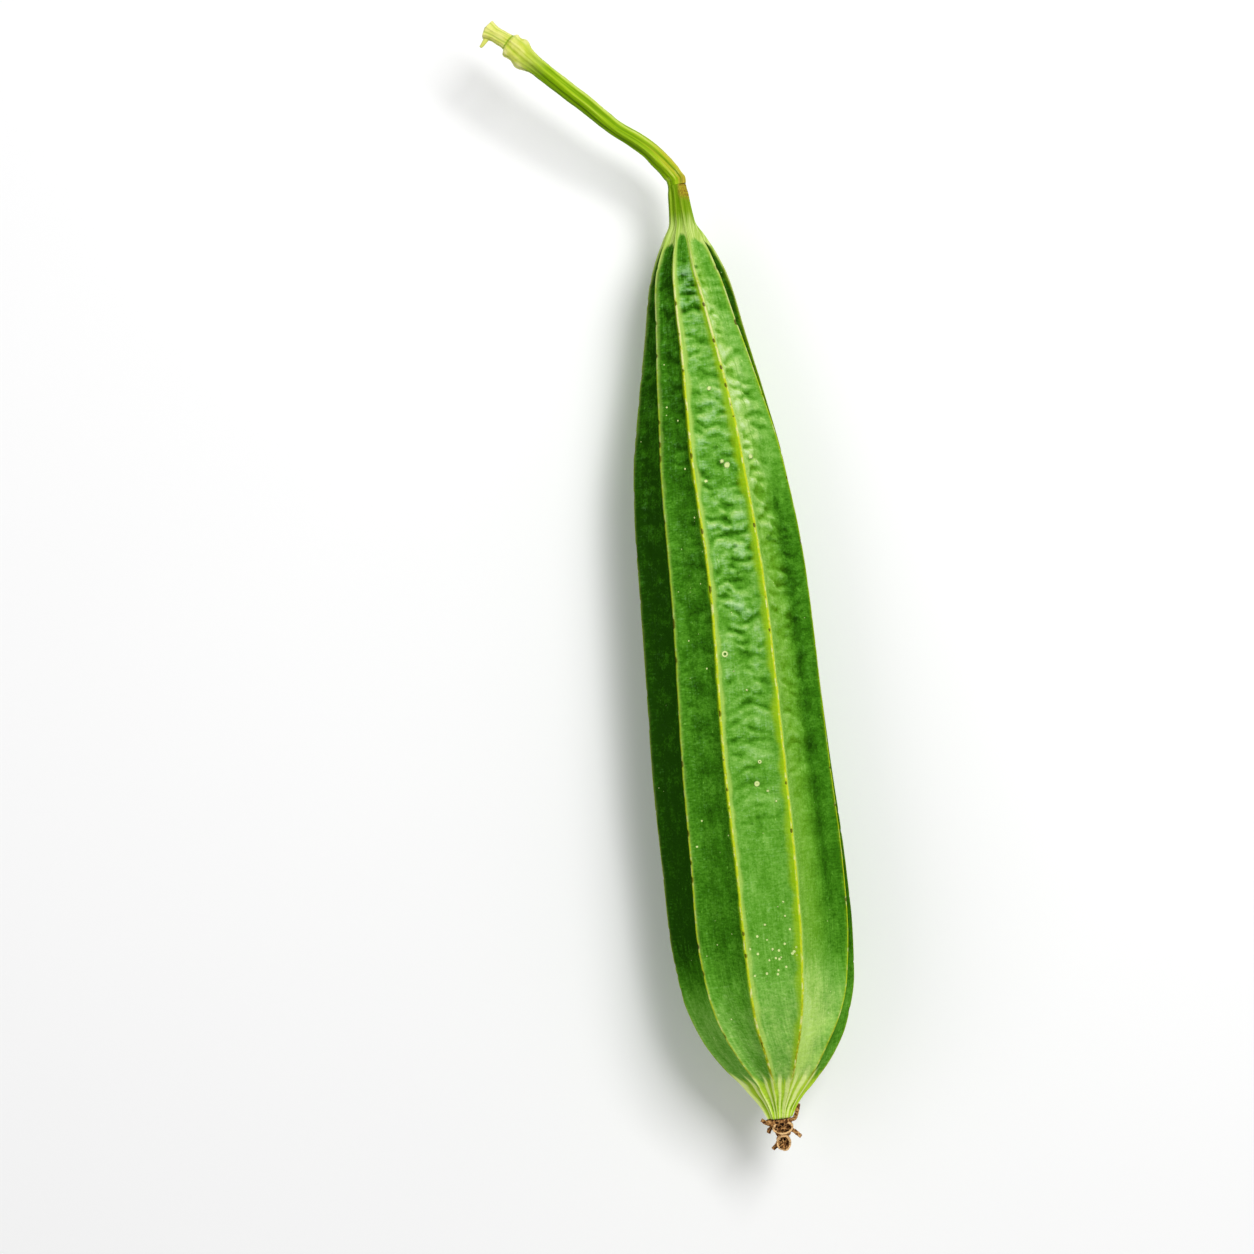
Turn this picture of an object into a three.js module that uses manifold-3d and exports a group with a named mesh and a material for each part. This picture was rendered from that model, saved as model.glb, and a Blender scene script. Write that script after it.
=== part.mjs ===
// Ridge gourd, picked with its stalk and with the withered blossom still on its tip.
// Millimetres, +Z up. It lies on two of its ten ridges with its length along Y, the stalk towards +Y.
// Shapes are first worked out along the gourd's own axis: "along" runs from the blossom scar to the
// joint ring under the stalk, "across" to the side and "up" away from the surface it lies on.
import * as THREE from 'three';
import { mergeVertices } from 'three/addons/utils/BufferGeometryUtils.js';
import Module from 'manifold-3d';

// Driving dimensions of the fruit
const FRUIT_LENGTH = 300;
const CREST_RADIUS = [ // distance along the axis, radius over the ridge crests
  [0, 4.2], [3, 5.6], [10.5, 11.7], [17.6, 17.8], [28, 23.8], [43, 28.2], [65, 29.9], [85, 29.8],
  [141, 28.5], [181, 27.2], [210, 24.6], [229, 21], [252, 16.1], [268, 13], [276.5, 10], [283, 6.8],
  [288, 4.2], [FRUIT_LENGTH, 3.1],
];
const AXIS_ACROSS = [ // distance along the axis, how far the fruit's middle strays from it
  [0, 0], [5, 0.3], [15, 1], [75, 1], [115, 0.3], [170, 0.7], [215, 0], [276, 0], [FRUIT_LENGTH, -0.5],
];
const RIDGE_STATIONS = [12, 22, 34, 60, 110, 165, 215, 245, 258, 272];
const RIDGE_DEGREES = [ // each ridge's direction at those stations, from straight up towards +X
  [-66, -74, -80, -84, -82, -80, -80, -86, -89, -94],
  [-31, -37, -42, -45, -42, -38.5, -40.5, -48, -53, -60],
  [-8, -10, -13, -13.7, -12, -11.2, -13.5, -17, -21, -25],
  [16, 17, 19, 22, 25, 25.5, 24, 19.5, 15, 8],
  [46, 49, 58, 64, 68.5, 72, 69, 63, 56, 49],
  [82, 88, 95, 101, 103, 104, 102, 96, 90, 83],
  [118, 124, 129, 132, 133, 134, 132, 126, 120, 113],
  [156, 158, 160, 162, 162, 162, 161, 156, 150, 144],
  [199, 198, 198, 198, 198, 198, 197, 191, 186, 181],
  [246, 243, 240, 238, 238, 238, 237, 231, 225, 219],
];
const RIDGE_HEIGHT = 2.1;
const RIDGE_HEIGHT_SHARE = 0.15; // of the radius, where the fruit is thin
const RIDGE_FOOT = 5; // half the width of a ridge where it meets the skin
const RIDGE_FOOT_SHARE = 0.3; // of the way to the next ridge, where the fruit is thin
const SWAY_DEGREES = 0.5;
const SWAY_LENGTH = 17;
const SWAY_STEP = 2.1; // how far each ridge's sway is ahead of its neighbour's, in radians
const PANEL_FLATNESS = 0.6; // 0 is a round skin between the ridges, 1 a flat one
const CREST_SHARE = 0.03; // half the blunt crest, as a share of the way to the next ridge
const WRINKLE_DEPTH = 0.35;
const WRINKLE_PITCH = 13;
const WRINKLE_STEP = 1.9; // how far each panel's wrinkles are ahead of its neighbour's, in radians
const WRINKLE_START = [60, 110];
const WRINKLE_STOP = [262, 280];

// How it lies
const REST_TILT = THREE.MathUtils.degToRad(1.35);
const SCAR_HEIGHT = 30.05; // the axis above the surface, at the blossom scar
const MIDDLE = new THREE.Vector2(-14.17, 173.15); // the footprint's middle, seen from the scar
const PIECE_GAP = 0.3;

// Driving dimensions of the stalk: across, along, up from the fruit's axis, radius
const STALK_ROUTE = [
  [-0.5, 300.35, 0, 3.1], [-0.6, 302.4, 0, 3.05], [-3, 305.5, 0.5, 3], [-5.1, 308.4, 1.4, 2.95],
  [-8.5, 312.2, 2.5, 2.75], [-13, 315.9, 3.8, 2.6], [-17.8, 319.3, 5.2, 2.45], [-22.1, 323.2, 6.5, 2.6],
  [-26.4, 327.4, 7.8, 2.75], [-31.3, 331.8, 9, 2.8], [-36, 336.1, 10, 2.8],
  [-40.6, 340.5, 10.8, 2.8], [-44.2, 344, 11.2, 3.2], [-46.8, 346.7, 11.3, 3.5],
  [-48.5, 348.6, 11.3, 2.9], [-50.2, 350.2, 11.2, 2.4], [-52.8, 352.2, 10.9, 2.4],
  [-55.4, 354.3, 10.5, 3.5],
];
const STALK_RIBS = 6;
const STALK_RIB_SHARE = 0.07;
const CUT_BULGE = 1.3;
const LOBE_LENGTH = 0.55; // in steps of the route
const LOBE_WIDTH = 0.8; // in radians round it
const NODE_LOBES = [ // place on the route, degrees round it from up, height
  [12.1, -92, 1.3], [12.8, 84, 0.9], [13.8, -86, 1.3], [14.1, 70, 0.8],
];
const TENDRIL_ROUTE = [[-55, 352.7, 10.5], [-56.7, 350.7, 10.4], [-57.8, 349.5, 10.2], [-58.4, 349.2, 10]];
const TENDRIL_RADII = [1, 0.75, 0.55, 0.4];

// Driving dimensions of the withered blossom, from the scar
const CUP_DEPTH = 2.2;
const CUP_PROFILE = [[3.9, 0], [3.7, 0.8], [2.7, CUP_DEPTH]]; // radius, distance from its flat top
const PETAL_WALL = 0.9;
const PETAL_POUCHES = [ // middle, half width and half length, height, waves round the rim, lean in degrees
  { middle: [0.7, -3], reach: [3.1, 1.9], height: 5.6, waves: 3, lean: 12 },
  { middle: [0.5, -7.9], reach: [2.1, 2.5], height: 4.8, waves: 4, lean: -14 },
];
const POUCH_RIM_WAVE = 0.18;
const POUCH_SECTION = [ // share of the half width, walls further out, level from underside to rim
  [0.55, 0, -1], [1, 0.5, -0.7], [1, 0.6, 0.85], [1, 0.1, 1], [1, -0.45, 0.85], [0.9, -0.45, -0.3],
];
const CURL_WALL = 1.15;
const CURL_TAPER = 0.45;
const PETAL_CURLS = [ // the route of each shrivelled petal, half width
  { route: [[-0.8, -7.2, 1.2], [-2, -8.8, 0.8], [-3.1, -9.6, 0.5]], half: 1.2 },
  { route: [[-1.8, -2.4, 0.8], [-4, -1.4, 1], [-5.9, -0.1, 0.9]], half: 1.1 },
  { route: [[-1.6, -2.6, -1], [-3.2, -3.3, -0.6], [-4, -4.5, 0]], half: 1 },
  { route: [[2.4, -3.2, 0.6], [4.4, -4.7, 1], [6.2, -6.5, 0.6]], half: 1.1 },
  { route: [[3.2, -1.4, -0.8], [4.9, -0.6, -1.4], [5.8, 1.4, -2.6], [6.6, 3.4, -3.4]], half: 0.9 },
  { route: [[0.2, -1.6, -2], [-1.2, -4, -4.4], [-0.4, -6.6, -4]], half: 1.5 },
  { route: [[1.6, -2, -1.8], [3, -3.6, -4.2], [2.4, -6.4, -4.8]], half: 1.3 },
];

// How finely the skins are divided
const RING_STEP = 1.4;
const RING_STEP_SHARE = 0.14; // added per millimetre of radius
const SECTOR_SHARES = [CREST_SHARE, 0.13, 0.36, 0.64, 0.87, 1 - CREST_SHARE];
const STALK_COLUMNS = STALK_RIBS * 3;
const STALK_STEPS = 3;
const POUCH_SIDES = 20;
const CURL_STEPS = 3;
const CUP_SIDES = 14;
const TENDRIL_SIDES = 6;

const { clamp, degToRad, lerp, smoothstep } = THREE.MathUtils;

// A smooth line through [x, y] points that never swings past them
function smoothLine(points) {
  const slopes = points.slice(1).map((p, i) => (p[1] - points[i][1]) / (p[0] - points[i][0]));
  const tangents = points.map((p, i) => {
    const before = slopes[Math.max(i - 1, 0)];
    const after = slopes[Math.min(i, slopes.length - 1)];
    return before * after <= 0 ? 0 : 2 * before * after / (before + after);
  });
  return (x) => {
    let i = points.findIndex((p) => p[0] > x) - 1;
    if (i < 0) i = x <= points[0][0] ? 0 : points.length - 2;
    const width = points[i + 1][0] - points[i][0];
    const s = (x - points[i][0]) / width;
    const fromHere = (1 + 2 * s) * (1 - s) ** 2 * points[i][1] + s * (1 - s) ** 2 * width * tangents[i];
    const fromNext = s * s * (3 - 2 * s) * points[i + 1][1] - s * s * (1 - s) * width * tangents[i + 1];
    return fromHere + fromNext;
  };
}

const crestRadius = smoothLine(CREST_RADIUS);
const axisAcross = smoothLine(AXIS_ACROSS);
const ridgeLines = RIDGE_DEGREES.map((row) => (
  smoothLine(row.map((degrees, i) => [RIDGE_STATIONS[i], degrees]))));

// From the gourd's own axes to the way it lies
function place(across, along, up) {
  const y = along * Math.cos(REST_TILT) + up * Math.sin(REST_TILT);
  const z = up * Math.cos(REST_TILT) - along * Math.sin(REST_TILT) + SCAR_HEIGHT;
  return new THREE.Vector3(across - MIDDLE.x, y - MIDDLE.y, z);
}

// One closed skin over rows of points, with a fan over each end
function closedSkin(rows, ends) {
  const columns = rows[0].length;
  const points = rows.flat();
  const faces = [];
  for (let row = 0; row < rows.length - 1; row += 1) {
    const next = row + 1;
    for (let column = 0; column < columns; column += 1) {
      const beside = (column + 1) % columns;
      const corners = [row * columns + column, row * columns + beside, next * columns + beside,
        next * columns + column];
      faces.push([corners[0], corners[1], corners[2]], [corners[0], corners[2], corners[3]]);
    }
  }
  const first = points.push(ends[0]) - 1;
  const last = points.push(ends[1]) - 1;
  const lastRow = (rows.length - 1) * columns;
  for (let column = 0; column < columns; column += 1) {
    const beside = (column + 1) % columns;
    faces.push([first, beside, column], [last, lastRow + column, lastRow + beside]);
  }
  return outwardGeometry(points, faces);
}

function outwardGeometry(points, faces) {
  const volume = faces.reduce((sum, [a, b, c]) => (
    sum + points[a].dot(new THREE.Vector3().crossVectors(points[b], points[c]))), 0);
  const outward = volume > 0 ? faces : faces.map(([a, b, c]) => [a, c, b]);
  const geometry = new THREE.BufferGeometry();
  geometry.setAttribute('position', new THREE.Float32BufferAttribute(points.flatMap((p) => p.toArray()), 3));
  geometry.setIndex(outward.flat());
  return geometry;
}

// The fruit: ten ridges that run from the blossom scar, over the shoulder and up the neck
function ridgeAngle(ridge, along) {
  const turn = Math.floor(ridge / RIDGE_DEGREES.length);
  const own = ridge % RIDGE_DEGREES.length;
  const station = clamp(along, RIDGE_STATIONS[0], RIDGE_STATIONS.at(-1));
  const sway = SWAY_DEGREES * Math.sin(along / SWAY_LENGTH + own * SWAY_STEP);
  return degToRad(ridgeLines[own](station) + 360 * turn + sway);
}

function ridgeHeight(radius) {
  return RIDGE_HEIGHT * Math.tanh(RIDGE_HEIGHT_SHARE * radius / RIDGE_HEIGHT);
}

function skinPoint(sector, share, along) {
  const from = ridgeAngle(sector, along);
  const to = ridgeAngle(sector + 1, along);
  const radius = crestRadius(along);
  const height = ridgeHeight(radius);
  const arc = radius * (to - from);
  const fromCrest = (Math.min(share, 1 - share) - CREST_SHARE) * arc;
  const foot = Math.min(RIDGE_FOOT, RIDGE_FOOT_SHARE * arc);
  const flank = height * (1 - Math.min(Math.max(fromCrest, 0) / foot, 1)) ** 2;
  const half = (to - from) / 2;
  const sag = PANEL_FLATNESS * (1 - Math.cos(half) / Math.cos((2 * share - 1) * half));
  const wrinkled = smoothstep(along, ...WRINKLE_START) * (1 - smoothstep(along, ...WRINKLE_STOP));
  const wave = Math.sin(2 * Math.PI * along / WRINKLE_PITCH + sector * WRINKLE_STEP);
  const wrinkle = WRINKLE_DEPTH * wrinkled * wave * Math.sin(Math.PI * share) ** 2;
  const reach = (radius - height) * (1 - sag) + flank + wrinkle;
  const angle = lerp(from, to, share);
  const point = place(axisAcross(along) + reach * Math.sin(angle), along, reach * Math.cos(angle));
  point.z = Math.max(point.z, 0); // the lowest crests are pressed flat where the gourd lies
  return point;
}

function fruitGeometry() {
  const rows = [];
  let along = 0;
  while (along < FRUIT_LENGTH) {
    rows.push(along);
    along += RING_STEP + RING_STEP_SHARE * crestRadius(along);
  }
  rows[rows.length - 1] = FRUIT_LENGTH;
  const rings = rows.map((station) => RIDGE_DEGREES.flatMap((_, sector) => (
    SECTOR_SHARES.map((share) => skinPoint(sector, share, station)))));
  return closedSkin(rings, [place(0, 0, 0), place(axisAcross(FRUIT_LENGTH), FRUIT_LENGTH, 0)]);
}

// A tube along a route, its sections turned so that they never twist
function tubeRings(curve, steps, sectionPoint) {
  const rings = [];
  let side = new THREE.Vector3(0, 0, 1);
  for (let step = 0; step <= steps; step += 1) {
    const centre = curve.getPoint(step / steps);
    const tangent = curve.getTangent(step / steps);
    side = side.clone().addScaledVector(tangent, -side.dot(tangent)).normalize();
    const other = new THREE.Vector3().crossVectors(tangent, side);
    rings.push(sectionPoint(step / steps, centre, side, other));
  }
  return rings;
}

// The stalk, with its swollen node, the cut stub beyond it and what is left of a tendril
const plainStalkRadius = smoothLine(STALK_ROUTE.map((row, i) => [i, row[3]]));

function stalkRadius(position, angle) {
  const ribs = 1 + STALK_RIB_SHARE * Math.cos(STALK_RIBS * angle);
  const lobes = NODE_LOBES.reduce((sum, [at, degrees, height]) => {
    const away = Math.atan2(Math.sin(angle - degToRad(degrees)), Math.cos(angle - degToRad(degrees)));
    return sum + height * Math.exp(-(((position - at) / LOBE_LENGTH) ** 2) - (away / LOBE_WIDTH) ** 2);
  }, 0);
  return plainStalkRadius(position) * ribs + lobes;
}

function stalkGeometry() {
  const curve = new THREE.CatmullRomCurve3(
    STALK_ROUTE.map(([across, along, up]) => place(across, along, up)), false, 'catmullrom', 0.5);
  const spans = STALK_ROUTE.length - 1;
  const rings = tubeRings(curve, spans * STALK_STEPS, (share, centre, side, other) => (
    Array.from({ length: STALK_COLUMNS }, (_, column) => {
      const angle = 2 * Math.PI * column / STALK_COLUMNS;
      const radius = stalkRadius(share * spans, angle);
      return centre.clone().addScaledVector(side, radius * Math.cos(angle))
        .addScaledVector(other, radius * Math.sin(angle));
    })));
  const cutEnd = curve.getPoint(1).addScaledVector(curve.getTangent(1), CUT_BULGE);
  return closedSkin(rings, [curve.getPoint(0), cutEnd]);
}

function tendrilGeometry() {
  const curve = new THREE.CatmullRomCurve3(TENDRIL_ROUTE.map((row) => place(...row)));
  const radiusAt = smoothLine(TENDRIL_RADII.map((radius, i) => [i, radius]));
  const rings = tubeRings(curve, TENDRIL_ROUTE.length, (share, centre, side, other) => (
    Array.from({ length: TENDRIL_SIDES }, (_, column) => {
      const angle = 2 * Math.PI * column / TENDRIL_SIDES;
      const radius = radiusAt(share * (TENDRIL_RADII.length - 1));
      return centre.clone().addScaledVector(side, radius * Math.cos(angle))
        .addScaledVector(other, radius * Math.sin(angle));
    })));
  return closedSkin(rings, [curve.getPoint(0), curve.getPoint(1)]);
}

// The withered blossom: a shrunken cup with two curled-up petals on it and smaller curls round them
function cupGeometry() {
  const rings = CUP_PROFILE.map(([radius, depth]) => (
    Array.from({ length: CUP_SIDES }, (_, column) => {
      const angle = 2 * Math.PI * column / CUP_SIDES;
      const crumple = radius * (1 + 0.07 * Math.sin(3 * angle) + 0.05 * Math.cos(5 * angle));
      return place(crumple * Math.sin(angle), -PIECE_GAP - depth, crumple * Math.cos(angle));
    })));
  return closedSkin(rings, [place(0, -PIECE_GAP, 0), place(0, -PIECE_GAP - CUP_DEPTH, 0)]);
}

// A petal curled up into a pouch, open towards +Z
function petalPouchGeometry({ middle, reach, height, waves, lean }) {
  const tilt = degToRad(lean);
  const rimPoint = (turn, share, outward, level) => {
    const up = level * height / 2 * (1 + POUCH_RIM_WAVE * Math.sin(waves * turn));
    const x = (reach[0] * share + outward * PETAL_WALL) * Math.cos(turn);
    const y = (reach[1] * share + outward * PETAL_WALL) * Math.sin(turn);
    return place(middle[0] + x, middle[1] + y * Math.cos(tilt), up - y * Math.sin(tilt));
  };
  const rings = POUCH_SECTION.map(([share, outward, level]) => (
    Array.from({ length: POUCH_SIDES }, (_, side) => (
      rimPoint(2 * Math.PI * side / POUCH_SIDES, share, outward, level)))));
  const underside = place(...middle, -height / 2);
  const floor = place(...middle, POUCH_SECTION.at(-1)[2] * height / 2);
  return closedSkin(rings, [underside, floor]);
}

function petalCurlGeometry({ route, half }) {
  const curve = new THREE.CatmullRomCurve3(route.map((row) => place(...row)));
  const outline = [[-1, 0], [-0.5, 0.5], [0.5, 0.5], [1, 0], [0.5, -0.5], [-0.5, -0.5]];
  const rings = tubeRings(curve, CURL_STEPS * (route.length - 1), (share, centre, side, other) => {
    const taper = 1 - CURL_TAPER * share ** 2;
    return outline.map(([wide, thick]) => centre.clone()
      .addScaledVector(side, wide * half * taper)
      .addScaledVector(other, (thick + 0.3 * wide * wide) * CURL_WALL));
  });
  return closedSkin(rings, [curve.getPoint(0), curve.getPoint(1)]);
}

// Joining several closed skins into one body
const library = await Module();
library.setup();

function solidFrom(geometry) {
  const plain = geometry.clone();
  plain.deleteAttribute('normal');
  plain.deleteAttribute('uv');
  const merged = mergeVertices(plain, 1e-5);
  return new library.Manifold(new library.Mesh({
    numProp: 3,
    vertProperties: Float32Array.from(merged.getAttribute('position').array),
    triVerts: Uint32Array.from(merged.getIndex().array),
  }));
}

function joined(geometries) {
  const whole = geometries.map(solidFrom).reduce((sum, next) => sum.add(next));
  const { vertProperties, triVerts } = whole.getMesh();
  const geometry = new THREE.BufferGeometry();
  geometry.setAttribute('position', new THREE.Float32BufferAttribute(vertProperties, 3));
  geometry.setIndex(Array.from(triVerts));
  return geometry;
}

function piece(name, geometry, colour, roughness) {
  const material = new THREE.MeshStandardMaterial({ color: colour, roughness, metalness: 0 });
  geometry.computeVertexNormals();
  const mesh = new THREE.Mesh(geometry, material);
  mesh.name = name;
  return mesh;
}

const gourd = new THREE.Group();
gourd.add(piece('fruit', fruitGeometry(), 0x5f9f35, 0.45));
gourd.add(piece('stalk', joined([stalkGeometry(), tendrilGeometry()]), 0xa8bf45, 0.5));
gourd.add(piece('withered_blossom', joined([
  cupGeometry(),
  ...PETAL_POUCHES.map(petalPouchGeometry),
  ...PETAL_CURLS.map(petalCurlGeometry),
]), 0x8c6540, 0.9));

export default gourd;
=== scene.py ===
"""A ridge gourd lying on a pale table, seen from above.

The green fruit with its ten sharp ridges, its ribbed stalk and its withered blossom are made here as
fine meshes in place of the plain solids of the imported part, in metres and in the same frame.
"""
import math

import bpy
import numpy as np
from mathutils import Matrix, Vector


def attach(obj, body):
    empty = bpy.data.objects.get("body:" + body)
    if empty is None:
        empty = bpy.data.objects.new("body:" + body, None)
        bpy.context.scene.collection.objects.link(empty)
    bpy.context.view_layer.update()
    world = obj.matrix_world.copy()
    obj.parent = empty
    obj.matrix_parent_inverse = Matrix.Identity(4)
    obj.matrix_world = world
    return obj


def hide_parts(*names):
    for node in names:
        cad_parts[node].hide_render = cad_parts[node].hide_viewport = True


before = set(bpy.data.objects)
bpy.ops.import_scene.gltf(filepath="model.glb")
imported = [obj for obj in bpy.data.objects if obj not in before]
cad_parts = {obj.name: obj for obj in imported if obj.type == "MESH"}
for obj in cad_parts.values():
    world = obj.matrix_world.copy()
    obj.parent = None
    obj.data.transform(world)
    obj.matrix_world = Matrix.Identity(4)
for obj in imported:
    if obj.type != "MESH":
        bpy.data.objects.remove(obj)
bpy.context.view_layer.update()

bl_info = {
    "name": "Ridge gourd",
    "version": (1, 0, 0),
    "blender": (4, 5, 0),
    "location": "3D View > Sidebar > Gourd",
    "description": "Builds a ridge gourd with its stalk and withered blossom",
    "category": "Add Mesh",
}

# The fruit in millimetres along its own axis, from the blossom scar to the joint ring
MM = 0.001
FRUIT_LENGTH = 300.0
CREST_RADIUS = [
    (0, 4.2), (3, 5.6), (10.5, 11.7), (17.6, 17.8), (28, 23.8), (43, 28.2), (65, 29.9), (85, 29.8),
    (141, 28.5), (181, 27.2), (210, 24.6), (229, 21), (252, 16.1), (268, 13), (276.5, 10), (283, 6.8),
    (288, 4.2), (300, 3.1),
]
AXIS_ACROSS = [
    (0, 0), (5, 0.3), (15, 1), (75, 1), (115, 0.3), (170, 0.7), (215, 0), (276, 0), (300, -0.5),
]
RIDGE_STATIONS = (12, 22, 34, 60, 110, 165, 215, 245, 258, 272)
RIDGE_DEGREES = np.array([
    (-66, -74, -80, -84, -82, -80, -80, -86, -89, -94),
    (-31, -37, -42, -45, -42, -38.5, -40.5, -48, -53, -60),
    (-8, -10, -13, -13.7, -12, -11.2, -13.5, -17, -21, -25),
    (16, 17, 19, 22, 25, 25.5, 24, 19.5, 15, 8),
    (46, 49, 58, 64, 68.5, 72, 69, 63, 56, 49),
    (82, 88, 95, 101, 103, 104, 102, 96, 90, 83),
    (118, 124, 129, 132, 133, 134, 132, 126, 120, 113),
    (156, 158, 160, 162, 162, 162, 161, 156, 150, 144),
    (199, 198, 198, 198, 198, 198, 197, 191, 186, 181),
    (246, 243, 240, 238, 238, 238, 237, 231, 225, 219),
])
RIDGES = len(RIDGE_DEGREES)
RIDGE_HEIGHT_SHARE = 0.15
RIDGE_FOOT = 5.0
RIDGE_FOOT_SHARE = 0.3
SWAY_DEGREES = 0.5
SWAY_LENGTH = 17.0
SWAY_STEP = 2.1
PANEL_FLATNESS = 0.6
CREST_SHARE = 0.03
CREST_DIP = 0.14 / 2.1  # how far the blunt crest lies below its edge, as a share of the ridge's height
WRINKLE_DEPTH = 0.35
WRINKLE_PITCH = 13.0
WRINKLE_STEP = 1.9
WRINKLE_START = (60, 110)
WRINKLE_STOP = (262, 280)
RING_RADIUS = 2.95
RING_STRETCH = (297, 300)

# How it lies
REST_TILT = math.radians(1.35)
SCAR_HEIGHT = 30.05
MIDDLE = (-14.17, 173.15)
PIECE_GAP = 0.3

# Each panel of skin, from ridge to ridge: wrinkling, then how light its green is at its left edge,
# in its middle and at its right edge, seen from outside with the stalk up, how much lighter it grows
# towards the blossom end and towards the shoulder, and how much painted sheen its lumps carry.
# The lightness is the skin's own green with painted light and shade: panels facing away from the light are
# darker
PANELS = np.array([
    (0.3, 0.0, -0.02, 0.0, 0.66, 0.1, 0.3), (0.3, 0.34, 0.25, 0.27, 0.36, -0.1, 0.75),
    (1.1, 0.57, 0.53, 0.56, 0.2, 0.06, 1.1), (0.95, 0.7, 0.45, 0.26, 0.52, 0.32, 0.6),
    (0.3, 0.08, 0.08, 0.12, 0.35, -0.03, 0.3), (0.8, 0.45, 0.5, 0.35, 0.3, 0.2, 0.6),
    (0.9, 0.6, 0.55, 0.4, 0.25, 0.15, 0.7), (0.6, 0.5, 0.5, 0.45, 0.3, 0.2, 0.6),
    (0.9, 0.6, 0.5, 0.35, 0.25, 0.2, 0.7), (0.6, 0.35, 0.25, 0.12, 0.3, 0.15, 0.4),
])
BLOSSOM_END = (62, 30)
SHOULDER = (178, 226)
# Painted shade: how much darker each panel's skin is below the shoulder, and how far up its dark green
# reaches
SHOULDER_SHADE = np.array([0.05, 0.05, 0.36, 0.2, 0.1, 0.3, 0.3, 0.3, 0.3, 0.3])
SHOULDER_ARCHES = np.array([282, 281, 283.8, 282, 281.5, 283.5, 284, 283.5, 284, 283.5])
# Middle and half width, along the fruit, of that painted shade, of a narrower painted shade and of a patch
# of specks
SHOULDER_SHADE_PLACE = (272, 14)
SECOND_SHADE = 0.15
SECOND_SHADE_PLACE = (208, 6)
SPECK_PLACE = (54, 8.5)
# The panels that face the viewer: the middle one and its neighbours
LEFT_PANEL = 1
MIDDLE_PANEL = 2
# A stripe of painted shade along the panel to the right of the middle one: its panel, place and half width
STRIPE_PANEL = 3
STRIPE_PLACE = (0.68, 0.15)
STRIPE_SHADE = 0.21
# Painted light and shade on the wrinkles: how much lighter a slope that rises towards the blossom end looks,
# and between which steepnesses
LIT_SHARE = 0.62
LIT_SLOPES = (-0.36, 0.5)
# Beside the ridges of each panel: width and strength of the pale band of painted light along its left
# edge, then of the yellow-green slope along its right edge
PANEL_EDGES = np.array([
    (0.5, 0.2, 0.5, 0.1), (0.5, 0.3, 0.75, 0.85), (0.95, 0.8, 1.6, 0.85), (0.6, 0.75, 0.7, 0.3),
    (0.6, 0.4, 0.6, 0.4), (0.9, 0.6, 0.8, 0.5), (1.0, 0.7, 0.9, 0.6), (0.9, 0.6, 0.8, 0.5),
    (0.9, 0.6, 0.8, 0.5), (0.6, 0.4, 0.5, 0.3),
])
# How strong the yellow line on each ridge is, near the blossom end and farther up
CREST_LINES = np.array([
    (0.5, 0.3), (0.7, 0.35), (1.0, 1.0), (1.0, 1.0), (0.8, 0.65),
    (0.8, 0.6), (0.9, 0.8), (0.8, 0.7), (0.9, 0.8), (0.8, 0.6),
])
FACING_PANELS = (0, 1, 2, 3)
FACING_STEPS = 28
FAR_STEPS = 16
CREST_CROWDING = 0.09

# Blemishes of the upper skin, each across, along, radius: ringed warts, pale bumps and dark pits
RINGED_WARTS = [(-2.1, 148.5, 1.05), (5.1, 113.9, 0.7), (3.5, 107.1, 1.0)]
PALE_BUMPS = [
    (0.1, 142.9, 0.4), (3.5, 136.6, 0.5), (6.7, 104.6, 0.6), (3.6, 208.9, 0.8), (5.0, 207.6, 1.15),
    (13.0, 209.7, 0.95), (2.2, 232.5, 0.8), (-2.1, 203.1, 0.6), (1.2, 63.3, 0.5), (7.6, 69.8, 0.4),
    (7.7, 65.4, 0.4), (5.8, 68.4, 0.35), (2.6, 55.2, 0.4), (5.2, 52.6, 0.4), (8.9, 101.2, 0.35),
]
DARK_PITS = [
    (16.1, 183.4, 1.1), (3.9, 186.0, 0.9), (4.7, 181.8, 0.8), (4.7, 173.0, 0.6), (1.9, 213.5, 0.7),
    (2.2, 272.0, 0.7), (0.6, 95.0, 0.5),
]
BLEMISH_FLATNESS = 0.3

# The stalk: across, along, up from the fruit's axis, radius
STALK_ROUTE = np.array([
    (-0.5, 300.03, 0, RING_RADIUS), (-0.8, 302.3, 0, 3.05), (-2.8, 305.5, 0.5, 3),
    (-5.1, 308.4, 1.4, 2.95),
    (-8.5, 312.2, 2.5, 2.75), (-13, 315.9, 3.8, 2.6), (-17.8, 319.3, 5.2, 2.45),
    (-22.1, 323.2, 6.5, 2.6), (-26.4, 327.4, 7.8, 2.75), (-31.3, 331.8, 9, 2.8),
    (-36, 336.1, 10, 2.8), (-40.6, 340.5, 10.8, 2.8), (-44.2, 344, 11.2, 3.2),
    (-46.8, 346.7, 11.3, 3.5), (-48.5, 348.6, 11.3, 2.9), (-50.2, 350.2, 11.2, 2.4),
    (-52.8, 352.2, 10.9, 2.4), (-55.4, 354.3, 10.5, 3.5),
])
STALK_RIBS = 6
STALK_RIB_SHARE = 0.07
CUT_BULGE = 1.3
LOBE_LENGTH = 0.55
LOBE_WIDTH = 0.8
# Collars and grooves round the stalk: place along it, half width, height
STALK_COLLARS = [(14.05, 0.16, 0.22), (14.5, 0.16, -0.28), (0.75, 0.28, 0.16), (1.25, 0.25, -0.12)]
# Lobes of the swollen node: place along the stalk, degrees round it, height
NODE_LOBES = [(12.1, -92, 1.3), (12.8, 84, 0.9), (13.8, -86, 1.3), (14.1, 70, 0.8)]
TENDRIL_ROUTE = np.array([
    (-55, 352.7, 10.5), (-56.7, 350.7, 10.4), (-57.8, 349.5, 10.2), (-58.3, 349.2, 10),
])
TENDRIL_RADII = [1, 0.75, 0.55, 0.4]

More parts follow.
